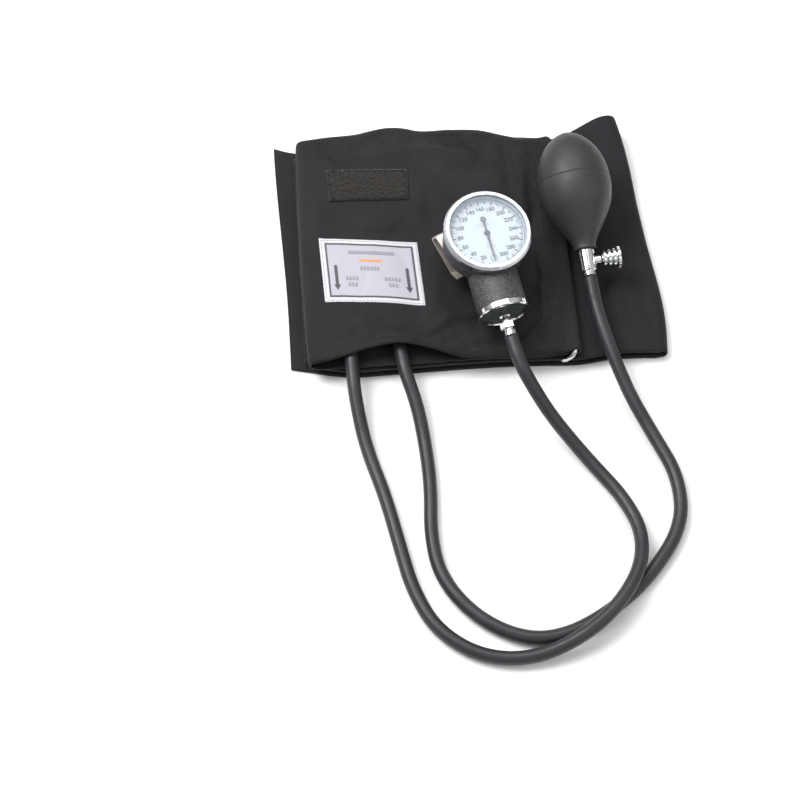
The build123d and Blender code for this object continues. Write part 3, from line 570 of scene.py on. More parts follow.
def low_back(x):
    return curve(x, (-109, 80.5), (-100, 77), (-60, 76), (0, 76), (45, 73), (60, 71), (72, 74),
                 (91, 79), (98, 78.5), (108, 74))


def right_fold(y):
    """x of the fold between the middle and bottom layers."""
    return curve(y, (-81, 106.5), (-62, 108.3), (0, 104.6), (60, 99.8), (80, 96.5))


def flap_lift(x, y):
    """How far the flap's far corner is curled off the table."""
    return 9 * MM * smooth((y - 18 * MM) / (60 * MM)) * smooth((x - 58 * MM) / (34 * MM))


def ridges(x, y, folds):
    """Height of a set of soft folds, each (x0, y0, x1, y1, width, height) in millimetres."""
    height = np.zeros_like(x)
    for x0, y0, x1, y1, width, rise in folds:
        ax, ay, bx, by = (value * MM for value in (x0, y0, x1, y1))
        dx, dy = bx - ax, by - ay
        t = np.clip(((x - ax) * dx + (y - ay) * dy) / (dx * dx + dy * dy), 0, 1)
        off = np.hypot(x - ax - t * dx, y - ay - t * dy)
        along = 0.35 + 0.65 * np.sin(pi * np.clip(t, 0.08, 0.92))
        height += rise * MM * bump(off, width * MM) * along
    return height


TOP_FOLDS = [
    (-16, -74, 26, -62, 3.0, 1.5), (-6, -72, 40, -69, 2.6, -1.3), (-14, -60, 22, -52, 3.6, -1.1),
    (-36, -68, -8, -52, 3.6, 0.9), (30, 66, 24, 8, 6.0, -2.6), (40, 44, 36, -30, 4.5, -1.6),
    (18, 68, 4, 36, 4.6, -1.5), (-44, 72, -38, 54, 3.6, -1.1), (-82, 68, -68, 52, 4.0, -0.9),
    (-86, -24, -84, 44, 4.0, 0.9), (-86, -66, -66, -50, 3.6, -1.0), (26, -72, 52, -44, 3.2, 1.1),
    (38, -72, 50, -16, 3.6, -1.2), (-4, 30, 26, 4, 6.0, -0.9), (-32, 26, 2, 56, 5.5, 0.9),
    (-26, 60, 14, 52, 3.6, 0.9), (-20, -4, -22, 34, 5.0, -0.8), (48, -10, 46, 40, 3.0, 0.8),
]
FLAP_FOLDS = [
    (62, -64, 98, -14, 4.5, 1.3), (64, 0, 98, 44, 5.5, 1.6), (72, 62, 98, 22, 4.2, -1.2),
    (66, -40, 70, 46, 4.0, -1.0), (86, -76, 80, -30, 4.0, 1.1), (66, 68, 90, 62, 3.6, -1.3),
    (100, -62, 94, -20, 3.4, -0.9), (70, -74, 76, -46, 3.2, -0.9),
]


def top_height(x, y_share):
    """Height of the top layer's outer ply at x, and at a share of the way to its back edge."""
    front, back = top_front_height(x), top_back_height(x)
    y = top_front(x) + (top_back(x) - top_front(x)) * y_share
    edge = front + (back - front) * y_share
    hem_slope = smooth((HEM_BAR[0] - x) / (17 * MM))
    middle = 16.2 * MM + (TOP_OUTER_Z + 0.9 * MM - 16.2 * MM) * hem_slope
    middle = middle - 1.6 * MM * smooth((-72 * MM - x) / (20 * MM))
    crown = np.clip(4 * y_share * (1 - y_share), 0, 1) ** 0.42
    height = edge + (np.maximum(middle, edge) - edge) * crown
    height = height + ridges(x, y, TOP_FOLDS) * crown
    # the gauge's drum and clip press a hollow into the pad
    height = height - 1.5 * MM * bump(np.hypot(x - 12 * MM, (y + 45 * MM) * 0.8), 21 * MM)
    height = height - 0.9 * MM * bump(np.hypot(x + 6 * MM, y + 24 * MM), 14 * MM)
    return height, y


def strip_row(share, outer):
    """One row of strip points along the folded profile, at a share of the way across.

    Returns the points and the range of them that lie in the top layer."""
    y_level = (share - 0.5) * STRIP_WIDTH
    xs, ys, zs = [], [], []

    def add(x, y, z):
        x, y, z = np.broadcast_arrays(x, y, z)
        xs.append(x)
        ys.append(y)
        zs.append(z)

    if outer:
        angles = np.radians(np.linspace(195, 440, 16))
        hem_x = HEM_BAR[0] + HEM_RADIUS * np.cos(angles)
        hem_z = HEM_BAR[1] + HEM_RADIUS * np.sin(angles)
        add(hem_x, top_front(hem_x) + (top_back(hem_x) - top_front(hem_x)) * share, hem_z)
    top_start = len(np.concatenate(xs)) if xs else 0
    start_x = HEM_BAR[0] - 0.9 * MM if outer else 51 * MM
    top_x = np.linspace(start_x, LEFT_FOLD_X, 86)
    height, y = top_height(top_x, share)
    if not outer:
        seam = np.minimum(top_back_height(top_x), height) - 1.3 * MM
        back_pull = smooth((share - 0.93) / 0.07)
        front_pull = smooth((0.06 - share) / 0.06) * smooth((top_x + 12 * MM) / (8 * MM))
        low = TOP_INNER_Z + 1.6 * MM * smooth((top_x - 38 * MM) / (8 * MM))
        front_seam = top_front_height(top_x) - 1.3 * MM
        height = low + (seam - low) * back_pull + (front_seam - low) * front_pull
        open_lip = smooth((-12 * MM - top_x) / (8 * MM)) * smooth((0.12 - share) / 0.12)
        y = y - (y + 78.3 * MM) * open_lip * (share < 0.2)
    else:
        into_hem = (top_x - HEM_BAR[0] + 12 * MM) / (12 * MM)
        over_hem = HEM_BAR[1] + 0.9 * HEM_RADIUS * smooth(into_hem)
        height = np.where(into_hem > 0, np.maximum(height, over_hem), height)
    add(top_x, y, height)
    top_end = top_start + len(top_x)

    # around the left fold
    middle_z = MIDDLE_OUTER_Z if outer else MIDDLE_INNER_Z
    z0, z1, y0 = height[-1], middle_z, y[-1]
    y1 = low_front(LEFT_FOLD_X) + (low_back(LEFT_FOLD_X) - low_front(LEFT_FOLD_X)) * share
    turn = np.linspace(0, pi, 16)[1:-1]
    bulge = (z0 - z1) / 2 * (1.0 if outer else 0.9)
    add(LEFT_FOLD_X - bulge * np.sin(turn), y0 + (y1 - y0) * smooth(turn / pi),
        (z0 + z1) / 2 + (z0 - z1) / 2 * np.cos(turn))

    # middle layer to the right fold
    fold_x = right_fold(y_level)
    top_gap = middle_z + flap_lift(fold_x, y_level)
    low_z = BOTTOM_OUTER_Z if outer else BOTTOM_INNER_Z
    bottom = low_z + 0.72 * flap_lift(fold_x, y_level)
    radius = (top_gap - bottom) / 2
    middle_x = np.concatenate([
        np.linspace(LEFT_FOLD_X, 48 * MM, 44)[:-1], np.linspace(48 * MM, fold_x - radius, 38)
    ])
    y = low_front(middle_x) + (low_back(middle_x) - low_front(middle_x)) * share
    folds = ridges(middle_x, y, FLAP_FOLDS) * smooth((middle_x - 52 * MM) / (10 * MM))
    z = middle_z + flap_lift(middle_x, y) + np.maximum(folds, -1.5 * MM) + 0.5 * MM * smooth(
        (middle_x - 56 * MM) / (10 * MM))
    add(middle_x, y, z)

    # around the right fold, then the bottom layer back to the tail
    turn = np.linspace(0, pi, 12)[1:-1]
    z_start, y_fold = z[-1], y[-1]
    add(fold_x - radius + radius * np.sin(turn), y_fold,
        (z_start + bottom) / 2 + (z_start - bottom) / 2 * np.cos(turn))
    tail_x = -104.8 * MM - 3.8 * MM * smooth((y_level + 50 * MM) / (130 * MM))
    bottom_x = np.linspace(fold_x - radius, tail_x, 70)
    y = low_front(bottom_x) + (low_back(bottom_x) - low_front(bottom_x)) * share
    z = low_z + 0.72 * flap_lift(bottom_x, y) * smooth((bottom_x - 60 * MM) / (36 * MM))
    add(bottom_x, y, z)
    points = np.stack([np.concatenate(xs), np.concatenate(ys), np.concatenate(zs)], axis=1)
    return points, (top_start, top_end)


def strip(name, outer, material):
    """One ply of the folded strip as an open grid; returns it, its top range and its length."""
    rows = [strip_row(share, outer) for share in np.linspace(0, 1, ROWS_ACROSS)]
    count = len(rows[0][0])
    vertices = np.concatenate([row for row, _ in rows])
    faces = grid_faces(len(rows), count)
    if not outer:
        faces = flipped(faces)
    piece = mesh_piece(name, vertices, faces, material)
    middle = rows[len(rows) // 2][0]
    length = float(distances_along(middle)[-1])
    return piece, rows[0][1], count, length


# Where sewn-on pieces stiffen the cloth: middle x and y, half sizes, in millimetres
STIFFENED = [(-56, -23, 28, 23), (-54.5, 36, 24, 12)]


def settle(piece, top_range, count):
    """Blows the top layer up a little, as cloth held at its seams, and keeps what it did."""
    start, end = top_range
    group = piece.vertex_groups.new(name="held")
    rest = np.array([v.co for v in piece.data.vertices], float)
    for row in range(ROWS_ACROSS):
        share = row / (ROWS_ACROSS - 1)
        edge = min(share, 1 - share) * (ROWS_ACROSS - 1)
        for column in range(count):
            inside = min(column - start - 6, end - 5 - column, edge - 2)
            weight = 1.0 - float(smooth(inside / 3))
            group.add([row * count + column], weight, "REPLACE")
    modifier = piece.modifiers.new("cloth", "CLOTH")
    settings = modifier.settings
    settings.quality = 6
    settings.mass = 0.25
    settings.tension_stiffness = 18
    settings.compression_stiffness = 18
    settings.bending_stiffness = 0.25
    settings.vertex_group_mass = "held"
    settings.shrink_min = -0.035
    settings.use_pressure = True
    settings.uniform_pressure_force = 1.5
    settings.effector_weights.gravity = 0
    modifier.collision_settings.use_collision = False
    for step in range(1, 23):
        bpy.context.scene.frame_set(step)
    depsgraph = bpy.context.evaluated_depsgraph_get()
    moved = piece.evaluated_get(depsgraph)
    after = np.array([v.co for v in moved.data.vertices], float)
    piece.modifiers.clear()
    piece.vertex_groups.clear()
    bpy.context.scene.frame_set(1)
    shift = after - rest
    for centre_x, centre_y, half_x, half_y in STIFFENED:
        across = np.maximum(abs(rest[:, 0] - centre_x * MM) - half_x * MM,
                            abs(rest[:, 1] - centre_y * MM) - half_y * MM)
        shift *= (0.2 + 0.8 * smooth(across / (9 * MM)))[:, None]
    size = np.maximum(np.linalg.norm(shift, axis=1), 1e-9)
    scale = SETTLED_CAP * np.tanh(size / SETTLED_CAP) / size
    moved = rest + shift * scale[:, None]
    piece.data.vertices.foreach_set("co", moved.ravel())
    piece.data.update()


def keep_under_gauge(piece):
    """Presses the pad down where the gauge's drum, end ring and clip rest on it."""
    points = np.array([v.co for v in piece.data.vertices], float)
    x, y, z = points.T
    away = np.hypot(x - GAUGE_REST[0], y - GAUGE_REST[1])
    near = smooth((30 * MM - away) / (12 * MM))
    points[:, 2] = np.where(z > PRESSED_Z, z - (z - PRESSED_Z) * near, z)
    piece.data.vertices.foreach_set("co", points.ravel())
    piece.data.update()


cover, cover_top, cover_count, cover_length = strip("cuff_cover", True, NYLON)
lining, _, _, lining_length = strip("cuff_lining", False, LINING)
settle(cover, cover_top, cover_count)
keep_under_gauge(cover)


def surface_of(piece):
    """A search tree over a piece's faces as they are now."""
    mesh = piece.data
    return BVHTree.FromPolygons([v.co.copy() for v in mesh.vertices],
                                [tuple(p.vertices) for p in mesh.polygons])


cover_surface = surface_of(cover)
lining_surface = surface_of(lining)


def drop(surface, x, y, above=0.06):
    """The place on a surface under a point, and its normal there; None twice off its edge."""
    place, normal, _, _ = surface.ray_cast(Vector((x, y, above)), Vector((0, 0, -1)))
    if place is None:
        return None, None
    return place, normal if normal.z > 0 else -normal


for cloth_piece, cloth_length, nodes, slot_name in (
    (cover, cover_length, ("outer_cover", "ring_hem"), "nylon"),
    (lining, lining_length, ("inner_lining",), "lining"),
):
    thickened(cloth_piece, PLY)
    cloth_piece.data.polygons.foreach_set("use_smooth", [True] * len(cloth_piece.data.polygons))
    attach(cloth_piece, "cuff")
    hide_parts(*nodes)


# ---------------- bladder
def bladder_bag():
    """The flat rubber bag inside the pocket, with its two ports."""
    low, high = (Vector(corner) * MM for corner in BLADDER_BOX)
    middle, half = (low + high) / 2, (high - low) / 2
    rings, around = 14, 72
    vertices, faces = [], []
    for i in range(rings):
        tilt = pi * (i + 0.5) / rings - pi / 2
        for j in range(around):
            angle = 2 * pi * j / around
            flat = (abs(cos(angle)) ** 5 + abs(sin(angle)) ** 5) ** (-1 / 5)
            reach = cos(tilt) ** 0.35
            vertices.append((
                middle.x + half.x * flat * cos(angle) * reach,
                middle.y + half.y * flat * sin(angle) * reach,
                middle.z + half.z * sin(tilt) / abs(sin(tilt)) * abs(sin(tilt)) ** 0.8,
            ))
    faces = flipped(grid_faces(rings, around, around=True))
    faces.append(tuple(reversed(range(around))))
    faces.append(tuple(range((rings - 1) * around, rings * around)))
    parts = [(vertices, faces)]
    for route in (GAUGE_ROUTE, BULB_ROUTE):
        start = np.array(route[0])
        points = np.array([start + (0, d * MM, 0) for d in (7.5, 5, 2.5, 0)])
        parts.append(tube(points, [3.9 * MM, 3.8 * MM, 3.7 * MM, 3.7 * MM], 24))
    return joined("bladder_bag", parts, BLADDER_RUBBER, soft=True)


bladder = bladder_bag()
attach(bladder, "cuff")
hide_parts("bladder")


# ---------------- pieces sewn on the cuff
class Patch:
    """A sewn-on piece between four corners, draped over the cloth under it.

    Its own u and v are metres from its middle, along its bottom edge and up its left one."""

    def __init__(self, surface, bottom_left, bottom_right, top_right, top_left):
        corners = (bottom_left, bottom_right, top_right, top_left)
        self.corners = [Vector(corner) * MM for corner in corners]
        self.surface = surface
        self.sunk = PLY / 2
        self.width = (self.corners[1] - self.corners[0]).length
        self.height = (self.corners[3] - self.corners[0]).length

    def at(self, u, v, lift=0.0):
        """The place at (u, v), lifted off the cloth."""
        s, t = u / self.width + 0.5, v / self.height + 0.5
        low = self.corners[0].lerp(self.corners[1], s)
        high = self.corners[3].lerp(self.corners[2], s)
        flat = low.lerp(high, t)
        return drop(self.surface, flat.x, flat.y)[0] + Vector((0, 0, self.sunk + lift))

    def lay_on(self, piece):
        """From now on, drapes over that thin sheet instead."""
        self.surface = surface_of(piece)
        self.sunk = 0.0

    def sheet(self, name, u_range, v_range, lift, step, material, rough=0.0, seed=0):
        """A draped rectangle as an open grid, roughened by a seeded fuzz."""
        columns = max(2, int(round((u_range[1] - u_range[0]) / step)) + 1)
        rows = max(2, int(round((v_range[1] - v_range[0]) / step)) + 1)
        fuzz = np.random.default_rng(seed).normal(0, 1, (rows, columns)) * rough
        vertices = []
        for j, v in enumerate(np.linspace(*v_range, rows)):
            for i, u in enumerate(np.linspace(*u_range, columns)):
                vertices.append(self.at(u, v, lift + abs(fuzz[j, i])))
        faces = flipped(grid_faces(rows, columns))
        return mesh_piece(name, vertices, faces, material)

    def strokes(self, outlines, lift, thickness=0.06 * MM):
        """Flat convex outlines in the patch's own u and v, as thin raised prints."""
        parts = []
        for outline in outlines:
            top = [self.at(u, v, lift + thickness) for u, v in outline]
            under = [self.at(u, v, lift - thickness) for u, v in outline]
            parts.append((top + under, slab_faces(len(outline))))
        return parts


def stitch_shape(sides=6):
    """A unit thread dash along x: a stretched bead."""
    rings = [(-1, 0.35), (-0.7, 0.9), (0, 1.0), (0.7, 0.9), (1, 0.35)]
    vertices = [
        (t, r * cos(2 * pi * k / sides), r * sin(2 * pi * k / sides))
        for t, r in rings for k in range(sides)
    ]
    faces = flipped(grid_faces(len(rings), sides, around=True))
    faces.append(tuple(range(sides)))
    last = (len(rings) - 1) * sides
    faces.append(tuple(reversed(range(last, last + sides))))
    return vertices, faces


STITCH = stitch_shape()


def stitch_run(surface, points, pitch=3.0 * MM, width=0.28 * MM, sink=0.0):
    """Dashes along a line of (x, y) points, each lying on the cloth under it."""
    points = np.array(points, float)
    along = distances_along(points)
    parts = []
    for s in np.arange(pitch / 2, along[-1], pitch):
        x, y = (np.interp(s, along, points[:, k]) for k in range(2))
        ahead = [np.interp(s + 0.3 * pitch, along, points[:, k]) for k in range(2)]
        behind = [np.interp(s - 0.3 * pitch, along, points[:, k]) for k in range(2)]
        place, normal = drop(surface, x, y)
        front, _ = drop(surface, *ahead)
        rear, _ = drop(surface, *behind)
        if place is None or front is None or rear is None or abs(front.z - rear.z) > pitch:
            continue
        direction = (front - rear).normalized()
        if direction.length < 0.5:
            continue
        side = normal.cross(direction).normalized()
        up = direction.cross(side)
        centre = place + up * (PLY / 2 + width * 0.35 - sink)
        turn = Matrix((direction * pitch * 0.36, side * width, up * width * 0.8)).transposed()
        parts.append(([centre + turn @ Vector(v) for v in STITCH[0]], STITCH[1]))
    return parts


def line_along(edge, x_range, inset, count=40):
    """Points a set distance in from an edge curve."""
    return [(x, float(edge(x)) + inset) for x in np.linspace(*x_range, count)]


def rectangle_line(patch, half_u, half_v):
    """A closed line of (x, y) points around the middle of a patch."""
    corners = [(-half_u, -half_v), (half_u, -half_v), (half_u, half_v), (-half_u, half_v),
               (-half_u, -half_v)]
    return [tuple(patch.at(u, v))[:2] for u, v in corners]


patch_place = Patch(cover_surface, (-77.1, 26.6), (-31.6, 23.4), (-30.7, 44.8), (-78.4, 48.8))
PATCH_HALF = (patch_place.width / 2, patch_place.height / 2)
hook_patch = patch_place.sheet("hook_patch_tape", (-PATCH_HALF[0], PATCH_HALF[0]),
                               (-PATCH_HALF[1], PATCH_HALF[1]), 0.75 * MM, 0.75 * MM, HOOK_TAPE,
                               rough=0.3 * MM, seed=3)
thickened(hook_patch, PATCH_THICKNESS, -1)
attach(hook_patch, "cuff")
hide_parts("hook_patch")

label_place = Patch(cover_surface, (-83.3, -40.5), (-27.2, -47.6), (-28.8, -5.6), (-84.8, 1.7))
LABEL_HALF = (label_place.width / 2, label_place.height / 2)
label = label_place.sheet("artery_label_ribbon", (-LABEL_HALF[0], LABEL_HALF[0]),
                          (-LABEL_HALF[1], LABEL_HALF[1]), 0.5 * MM, 1.0 * MM, LABEL_EDGE)
label_place.lay_on(label)
thickened(label, LABEL_THICKNESS, -1)
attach(label, "cuff")
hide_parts("artery_label")

label_border = rectangle_line(label_place, LABEL_HALF[0] - 1.2 * MM, LABEL_HALF[1] - 1.2 * MM)
INSET = 3.1 * MM
LINE = 0.85 * MM
field_half = (LABEL_HALF[0] - INSET - LINE, LABEL_HALF[1] - INSET - LINE)
label_field = label_place.sheet("label_field", (-field_half[0], field_half[0]),
                                (-field_half[1], field_half[1]), 0.12 * MM, 0.8 * MM, LABEL_FIELD)
thickened(label_field, FIELD_THICKNESS, -1)
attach(label_field, "cuff")


def boxes(u0, u1, v0, v1, step=2.5 * MM):
    """A bar as a row of short quads, so that it follows the cloth."""
    count = max(1, int(round(max(u1 - u0, v1 - v0) / step)))
    if u1 - u0 >= v1 - v0:
        edges = np.linspace(u0, u1, count + 1)
        return [[(a, v0), (b, v0), (b, v1), (a, v1)] for a, b in zip(edges, edges[1:])]
    edges = np.linspace(v0, v1, count + 1)
    return [[(u0, a), (u1, a), (u1, b), (u0, b)] for a, b in zip(edges, edges[1:])]


def label_frame():
    """The dark line around the label's field."""
    outer_u, outer_v = LABEL_HALF[0] - INSET, LABEL_HALF[1] - INSET
    return (
        boxes(-outer_u, outer_u, outer_v - LINE, outer_v)
        + boxes(-outer_u, outer_u, -outer_v, LINE - outer_v)
        + boxes(-outer_u, LINE - outer_u, LINE - outer_v, outer_v - LINE)
        + boxes(outer_u - LINE, outer_u, LINE - outer_v, outer_v - LINE)
    )


def arrow_down(u, top, bottom):
    """A plain arrow that points down the label."""
    head = 3.6 * MM
    return boxes(u - 0.85 * MM, u + 0.85 * MM, bottom + head, top) + [
        [(u, bottom), (u + 1.9 * MM, bottom + head), (u - 1.9 * MM, bottom + head)]
    ]


def blurred_word(u, v, letters, size):
    """A row of plain upright dashes that stands for a word."""
    strokes = []
    for index in range(letters):
        left = u + index * size * 0.82
        right = left + size * 0.55
        strokes.append([(left, v), (right, v), (right, v + size), (left, v + size)])
    return strokes


ink = label_frame()
for arrow_u in (-20.2, 20.4):
    ink += arrow_down(arrow_u * MM, 3.0 * MM, -13.4 * MM)
grey = boxes(-12 * MM, 14 * MM, 11.2 * MM, 13.2 * MM)
for word_u, word_v, letters in ((-6.2, 0.2, 6), (-15.0, -6.6, 4), (7.0, -6.6, 5),
                                (-13.8, -10.6, 3), (9.0, -10.6, 3)):
    grey += blurred_word(word_u * MM, word_v * MM, letters, 2.3 * MM)
orange = boxes(-6.5 * MM, 6.5 * MM, 6.2 * MM, 7.6 * MM)
for print_name, outlines, print_material in (
    ("label_print_dark", ink, LABEL_INK),
    ("label_print_grey", grey, LABEL_GREY),
    ("label_print_orange", orange, LABEL_ORANGE),
):
    piece = joined(print_name, label_place.strokes(outlines, 0.3 * MM), print_material)
    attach(piece, "cuff")


def loop_panel():
    """Loop tape sewn on the tail, between the two lower layers."""
    half_u, half_v = LOOP_TAPE_HALF
    centre_x, centre_z = LOOP_TAPE_CENTRE
    vertices = []
    rows, columns = 72, 39
    fuzz = np.random.default_rng(5).random((rows, columns)) * 0.25 * MM
    for j, v in enumerate(np.linspace(-half_v, half_v, rows)):
        for i, u in enumerate(np.linspace(-half_u, half_u, columns)):
            vertices.append((centre_x + u, v, centre_z + fuzz[j, i]))
    faces = flipped(grid_faces(rows, columns))
    piece = mesh_piece("tail_loop_tape", vertices, faces, LOOP_TAPE)
    return thickened(piece, LOOP_TAPE_THICKNESS, -1)


loop_tape = loop_panel()
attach(loop_tape, "cuff")
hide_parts("tail_loop_panel")

# Stitching, in rows a few millimetres in from each edge
X_TOP = (-84 * MM, 50 * MM)
seams = stitch_run(cover_surface, line_along(top_back, X_TOP, -4 * MM))
seams += stitch_run(cover_surface, line_along(top_front, X_TOP, 4 * MM))
seams += stitch_run(cover_surface, [(46 * MM, -73 * MM), (46 * MM, 62 * MM)])
seams += stitch_run(cover_surface, [(43.5 * MM, -73 * MM), (43.5 * MM, 62 * MM)])
seams += stitch_run(lining_surface, line_along(low_back, (60 * MM, 96 * MM), -4 * MM))
seams += stitch_run(lining_surface, line_along(low_front, (60 * MM, 103 * MM), 4 * MM))
cuff_seams = joined("cuff_stitching", seams, THREAD, soft=True)
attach(cuff_seams, "cuff")
patch_seams = joined("hook_patch_stitching", stitch_run(
    cover_surface, rectangle_line(patch_place, PATCH_HALF[0] - 1.3 * MM, PATCH_HALF[1] - 1.3 * MM),
    pitch=2.4 * MM, width=0.3 * MM, sink=-1.3 * MM), THREAD, soft=True)
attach(patch_seams, "cuff")
label_seams = joined("label_stitching", stitch_run(
    surface_of(label), label_border, pitch=2.2 * MM, width=0.22 * MM, sink=PLY / 2),
    PALE_THREAD, soft=True)
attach(label_seams, "cuff")


# ---------------- gauge dial
DIAL_CENTRE = Vector(joints["pointer_turn"]["pos_m"])
DIAL_NORMAL = Vector(joints["pointer_turn"]["axis"]).normalized()
YAW, DIP = radians(10.5), radians(7)
SIX = Vector((sin(YAW) * cos(DIP), -cos(YAW) * cos(DIP), -sin(DIP)))
THREE = DIAL_NORMAL.cross(SIX)
DEGREES_PER_MMHG = 337.5 / 300
INK_LEVEL = 0.03 * MM


def on_dial(right, up, level=INK_LEVEL):
    """A place on the dial: to the right and up as it is read."""
    return DIAL_CENTRE + THREE * right - SIX * up + DIAL_NORMAL * level


def dial_stroke(outline, level=INK_LEVEL, thickness=0.04 * MM):
    """A flat inked outline given in the dial's right and up."""
    top = [on_dial(*p, level + thickness) for p in outline]
    under = [on_dial(*p, level - thickness / 2) for p in outline]
    return top + under, slab_faces(len(outline))


def scale_tick(value, inner, outer, width):
    """A radial tick at a pressure in mmHg; 0 is at six o'clock and the scale runs clockwise."""
    angle = radians(value * DEGREES_PER_MMHG)
    radial = Vector((-sin(angle), -cos(angle)))
    side = Vector((radial.y, -radial.x)) * width / 2
    corners = [radial * inner - side, radial * inner + side, radial * outer + side,
               radial * outer - side]
    return dial_stroke([tuple(c) for c in corners])


def lettering(text, right, up, size):
    """Vertices and faces of a short text, centred at a place on the dial."""
    data = bpy.data.curves.new("lettering", "FONT")
    data.body = text
    data.size = size
    data.align_x, data.align_y = "CENTER", "CENTER"
    data.extrude = 0.03 * MM
    data.offset = 0.1 * MM
    data.resolution_u = 3
    points, faces = points_and_faces("lettering", data)
    return [on_dial(right + p.x, up + p.y, INK_LEVEL + p.z) for p in points], faces


def ring_strokes(radius, width, centre=(0, 0), start=0.0, sweep=2 * pi, count=96):
    """A thin printed arc."""
    parts = []
    angles = np.linspace(start, start + sweep, count + 1)
    for a, b in zip(angles, angles[1:]):
        corners = [(radius - width / 2, a), (radius + width / 2, a), (radius + width / 2, b),
                   (radius - width / 2, b)]
        parts.append(dial_stroke([
            (centre[0] + r * cos(t), centre[1] + r * sin(t)) for r, t in corners
        ]))
    return parts


def dial_print():
    """Ticks, numbers and the zero mark."""
    parts = []
    for value in range(4, 302, 2):
        if value % 20 == 0:
            parts.append(scale_tick(value, 17.6 * MM, 20.2 * MM, 0.6 * MM))
        elif value % 10 == 0:
            parts.append(scale_tick(value, 18.1 * MM, 20.1 * MM, 0.45 * MM))
        else:
            parts.append(scale_tick(value, 19.1 * MM, 20.1 * MM, 0.2 * MM))
    for value in range(20, 301, 20):
        angle = radians(value * DEGREES_PER_MMHG)
        right, up = -sin(angle) * NUMBERS_RADIUS, -cos(angle) * NUMBERS_RADIUS
        parts.append(lettering(str(value), right, up, 3.4 * MM))
    return parts + ring_strokes(1.75 * MM, 0.28 * MM, (0, -NUMBERS_RADIUS), count=20)


def dial_pale_print():
    """Unit and thin lines where the face carries its small print."""
    parts = [lettering("mmHg", 0, -7.6 * MM, 2.1 * MM)]
    for up, half in ((5.6 * MM, 7.0 * MM), (4.6 * MM, 4.6 * MM)):
        parts.append(dial_stroke([(-half, up), (half, up), (half, up + 0.3 * MM),
                                  (-half, up + 0.3 * MM)]))
    parts += ring_strokes(20.35 * MM, 0.12 * MM, start=radians(-90 - 4), sweep=-radians(333))
    return parts


numbers = joined("dial_numbers", dial_print(), DIAL_INK)
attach(numbers, "gauge")
small_print = joined("dial_small_print", dial_pale_print(), DIAL_PALE_INK)
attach(small_print, "gauge")


def rim_liner():
    """The pale tapered ring between the dial and the crystal, coloured bluish grey as painted shade
    inside the bezel.
    """
    profile = [(20.7, 0.05), (21.6, 1.4), (21.75, 2.7), (21.85, 2.7), (21.8, 0.05)]
    vertices = []
    for r, level in profile:
        for k in range(LINER_SIDES):
            angle = 2 * pi * k / LINER_SIDES
            vertices.append(on_dial(r * MM * cos(angle), r * MM * sin(angle), level * MM))
    return mesh_piece("dial_rim_shade", vertices, ring_faces(len(profile), LINER_SIDES), RIM_SHADE)


rim_shade_piece = rim_liner()
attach(rim_shade_piece, "gauge")


# ---------------- bulb
BULB_CENTRE = Vector((62.5, 18.3, 38.0)) * MM
BULB_DIRECTION = Vector(joints["outlet_disc_lift"]["axis"]).normalized()
BULB_SIDE = Vector((-BULB_DIRECTION.y, BULB_DIRECTION.x, 0)).normalized()
BULB_OTHER = BULB_DIRECTION.cross(BULB_SIDE)
SEAM_S = 0.8


def eased(points, per_span=7):
    """More points along a smooth curve through a few (r, s) points."""
    points = np.array(points, float)
    padded = np.concatenate([[2 * points[0] - points[1]], points, [2 * points[-1] - points[-2]]])
    out = []
    for i in range(len(points) - 1):
        p0, p1, p2, p3 = padded[i:i + 4]
        for t in np.linspace(0, 1, per_span, endpoint=False):
            out.append(0.5 * (2 * p1 + (p2 - p0) * t + (2 * p0 - 5 * p1 + 4 * p2 - p3) * t**2
                              + (3 * p1 - p0 - 3 * p2 + p3) * t**3))
    out.append(points[-1])
    return out


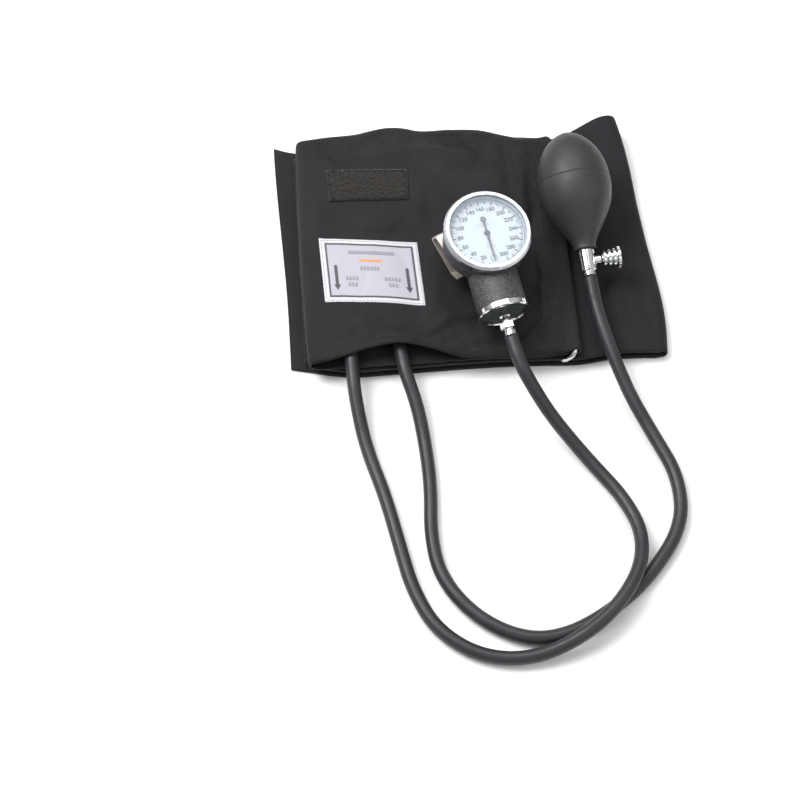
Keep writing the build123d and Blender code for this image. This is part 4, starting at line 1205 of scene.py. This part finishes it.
def bulb_mesh():
    """The squeeze bulb: a turned rubber shell, open at both ends, with a mould seam."""
    outside = eased([(4.3, -28.6), (8.6, -26.1), (13.2, -21.6), (17.2, -15.4), (20.0, -7.0),
                     (20.9, 1.5), (20.6, 8.0), (18.7, 16.0), (14.6, 24.0), (10.4, 31.0),
                     (7.3, 36.4), (6.35, 39.6)])
    outside += [np.array(p) for p in ((6.3, 40.6), (6.45, 41.0), (6.4, 41.7), (6.0, 42.0))]
    inside = eased([(4.3, 42.0), (4.3, 36.5), (8.3, 30.2), (12.8, 22.8), (16.9, 15.0),
                    (18.8, 6.0), (18.5, -4.0), (15.8, -13.0), (11.4, -20.0), (4.3, -24.6)], 3)
    profile = [p for p in outside if abs(p[1] - SEAM_S) > 0.9]
    radius_at_seam = float(np.interp(SEAM_S, [p[1] for p in outside], [p[0] for p in outside]))
    for offset in (-0.8, -0.45, -0.2, 0.0, 0.2, 0.45, 0.8):
        profile.append(np.array([
            radius_at_seam - 0.26 * float(bump(np.float64(offset), 0.3)), SEAM_S + offset
        ]))
    profile.sort(key=lambda p: p[1])
    profile += inside
    vertices = []
    for r, s in profile:
        for k in range(BULB_SIDES):
            angle = 2 * pi * k / BULB_SIDES
            vertices.append(BULB_CENTRE + BULB_DIRECTION * s * MM + (
                BULB_SIDE * cos(angle) + BULB_OTHER * sin(angle)) * r * MM)
    return mesh_piece("bulb_rubber", vertices, ring_faces(len(profile), BULB_SIDES), BULB_RUBBER)


bulb = bulb_mesh()
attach(bulb, "bulb")
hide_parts("rubber_bulb")


# ---------------- floor and light
def studio():
    """Pale floor, soft light from above and a pale surround."""
    reach, under = 6, -0.0002
    corners = [(x * reach, y * reach, under) for x, y in ((-1, -1), (1, -1), (1, 1), (-1, 1))]
    pale = Finish("floor_pale", (0.92, 0.92, 0.925), 0.9).material
    floor = mesh_piece("floor", corners, [(0, 1, 2, 3)], pale, soft=False)
    world = bpy.data.worlds.new("studio")
    bpy.context.scene.world = world
    world.use_nodes = True
    nodes, links = world.node_tree.nodes, world.node_tree.links
    around = nodes.new("ShaderNodeTexCoord")
    split = nodes.new("ShaderNodeSeparateXYZ")
    sky = nodes.new("ShaderNodeValToRGB")
    sky.color_ramp.elements[0].position = 0.05
    sky.color_ramp.elements[0].color = (0.22, 0.22, 0.23, 1)
    sky.color_ramp.elements[1].position = 0.55
    sky.color_ramp.elements[1].color = (1, 1, 1, 1)
    links.new(around.outputs["Generated"], split.inputs["Vector"])
    links.new(split.outputs["Z"], sky.inputs["Fac"])
    links.new(sky.outputs["Color"], nodes["Background"].inputs["Color"])
    nodes["Background"].inputs["Strength"].default_value = 0.62
    for name, place, size, power in (
        ("key", (-0.75, 0.3, 1.25), 0.8, 21.0),
        ("fill", (0.9, -0.75, 1.0), 1.2, 4.0),
        ("top", (0.1, 0.6, 1.6), 0.9, 8.0),
    ):
        light = bpy.data.lights.new(name, "AREA")
        light.size = size
        light.energy = power
        lamp = bpy.data.objects.new(name, light)
        bpy.context.scene.collection.objects.link(lamp)
        lamp.location = place
        lamp.rotation_mode = "QUATERNION"
        lamp.rotation_quaternion = (-Vector(place)).to_track_quat("-Z", "Y")
    bpy.context.scene.view_settings.view_transform = "Standard"


studio()
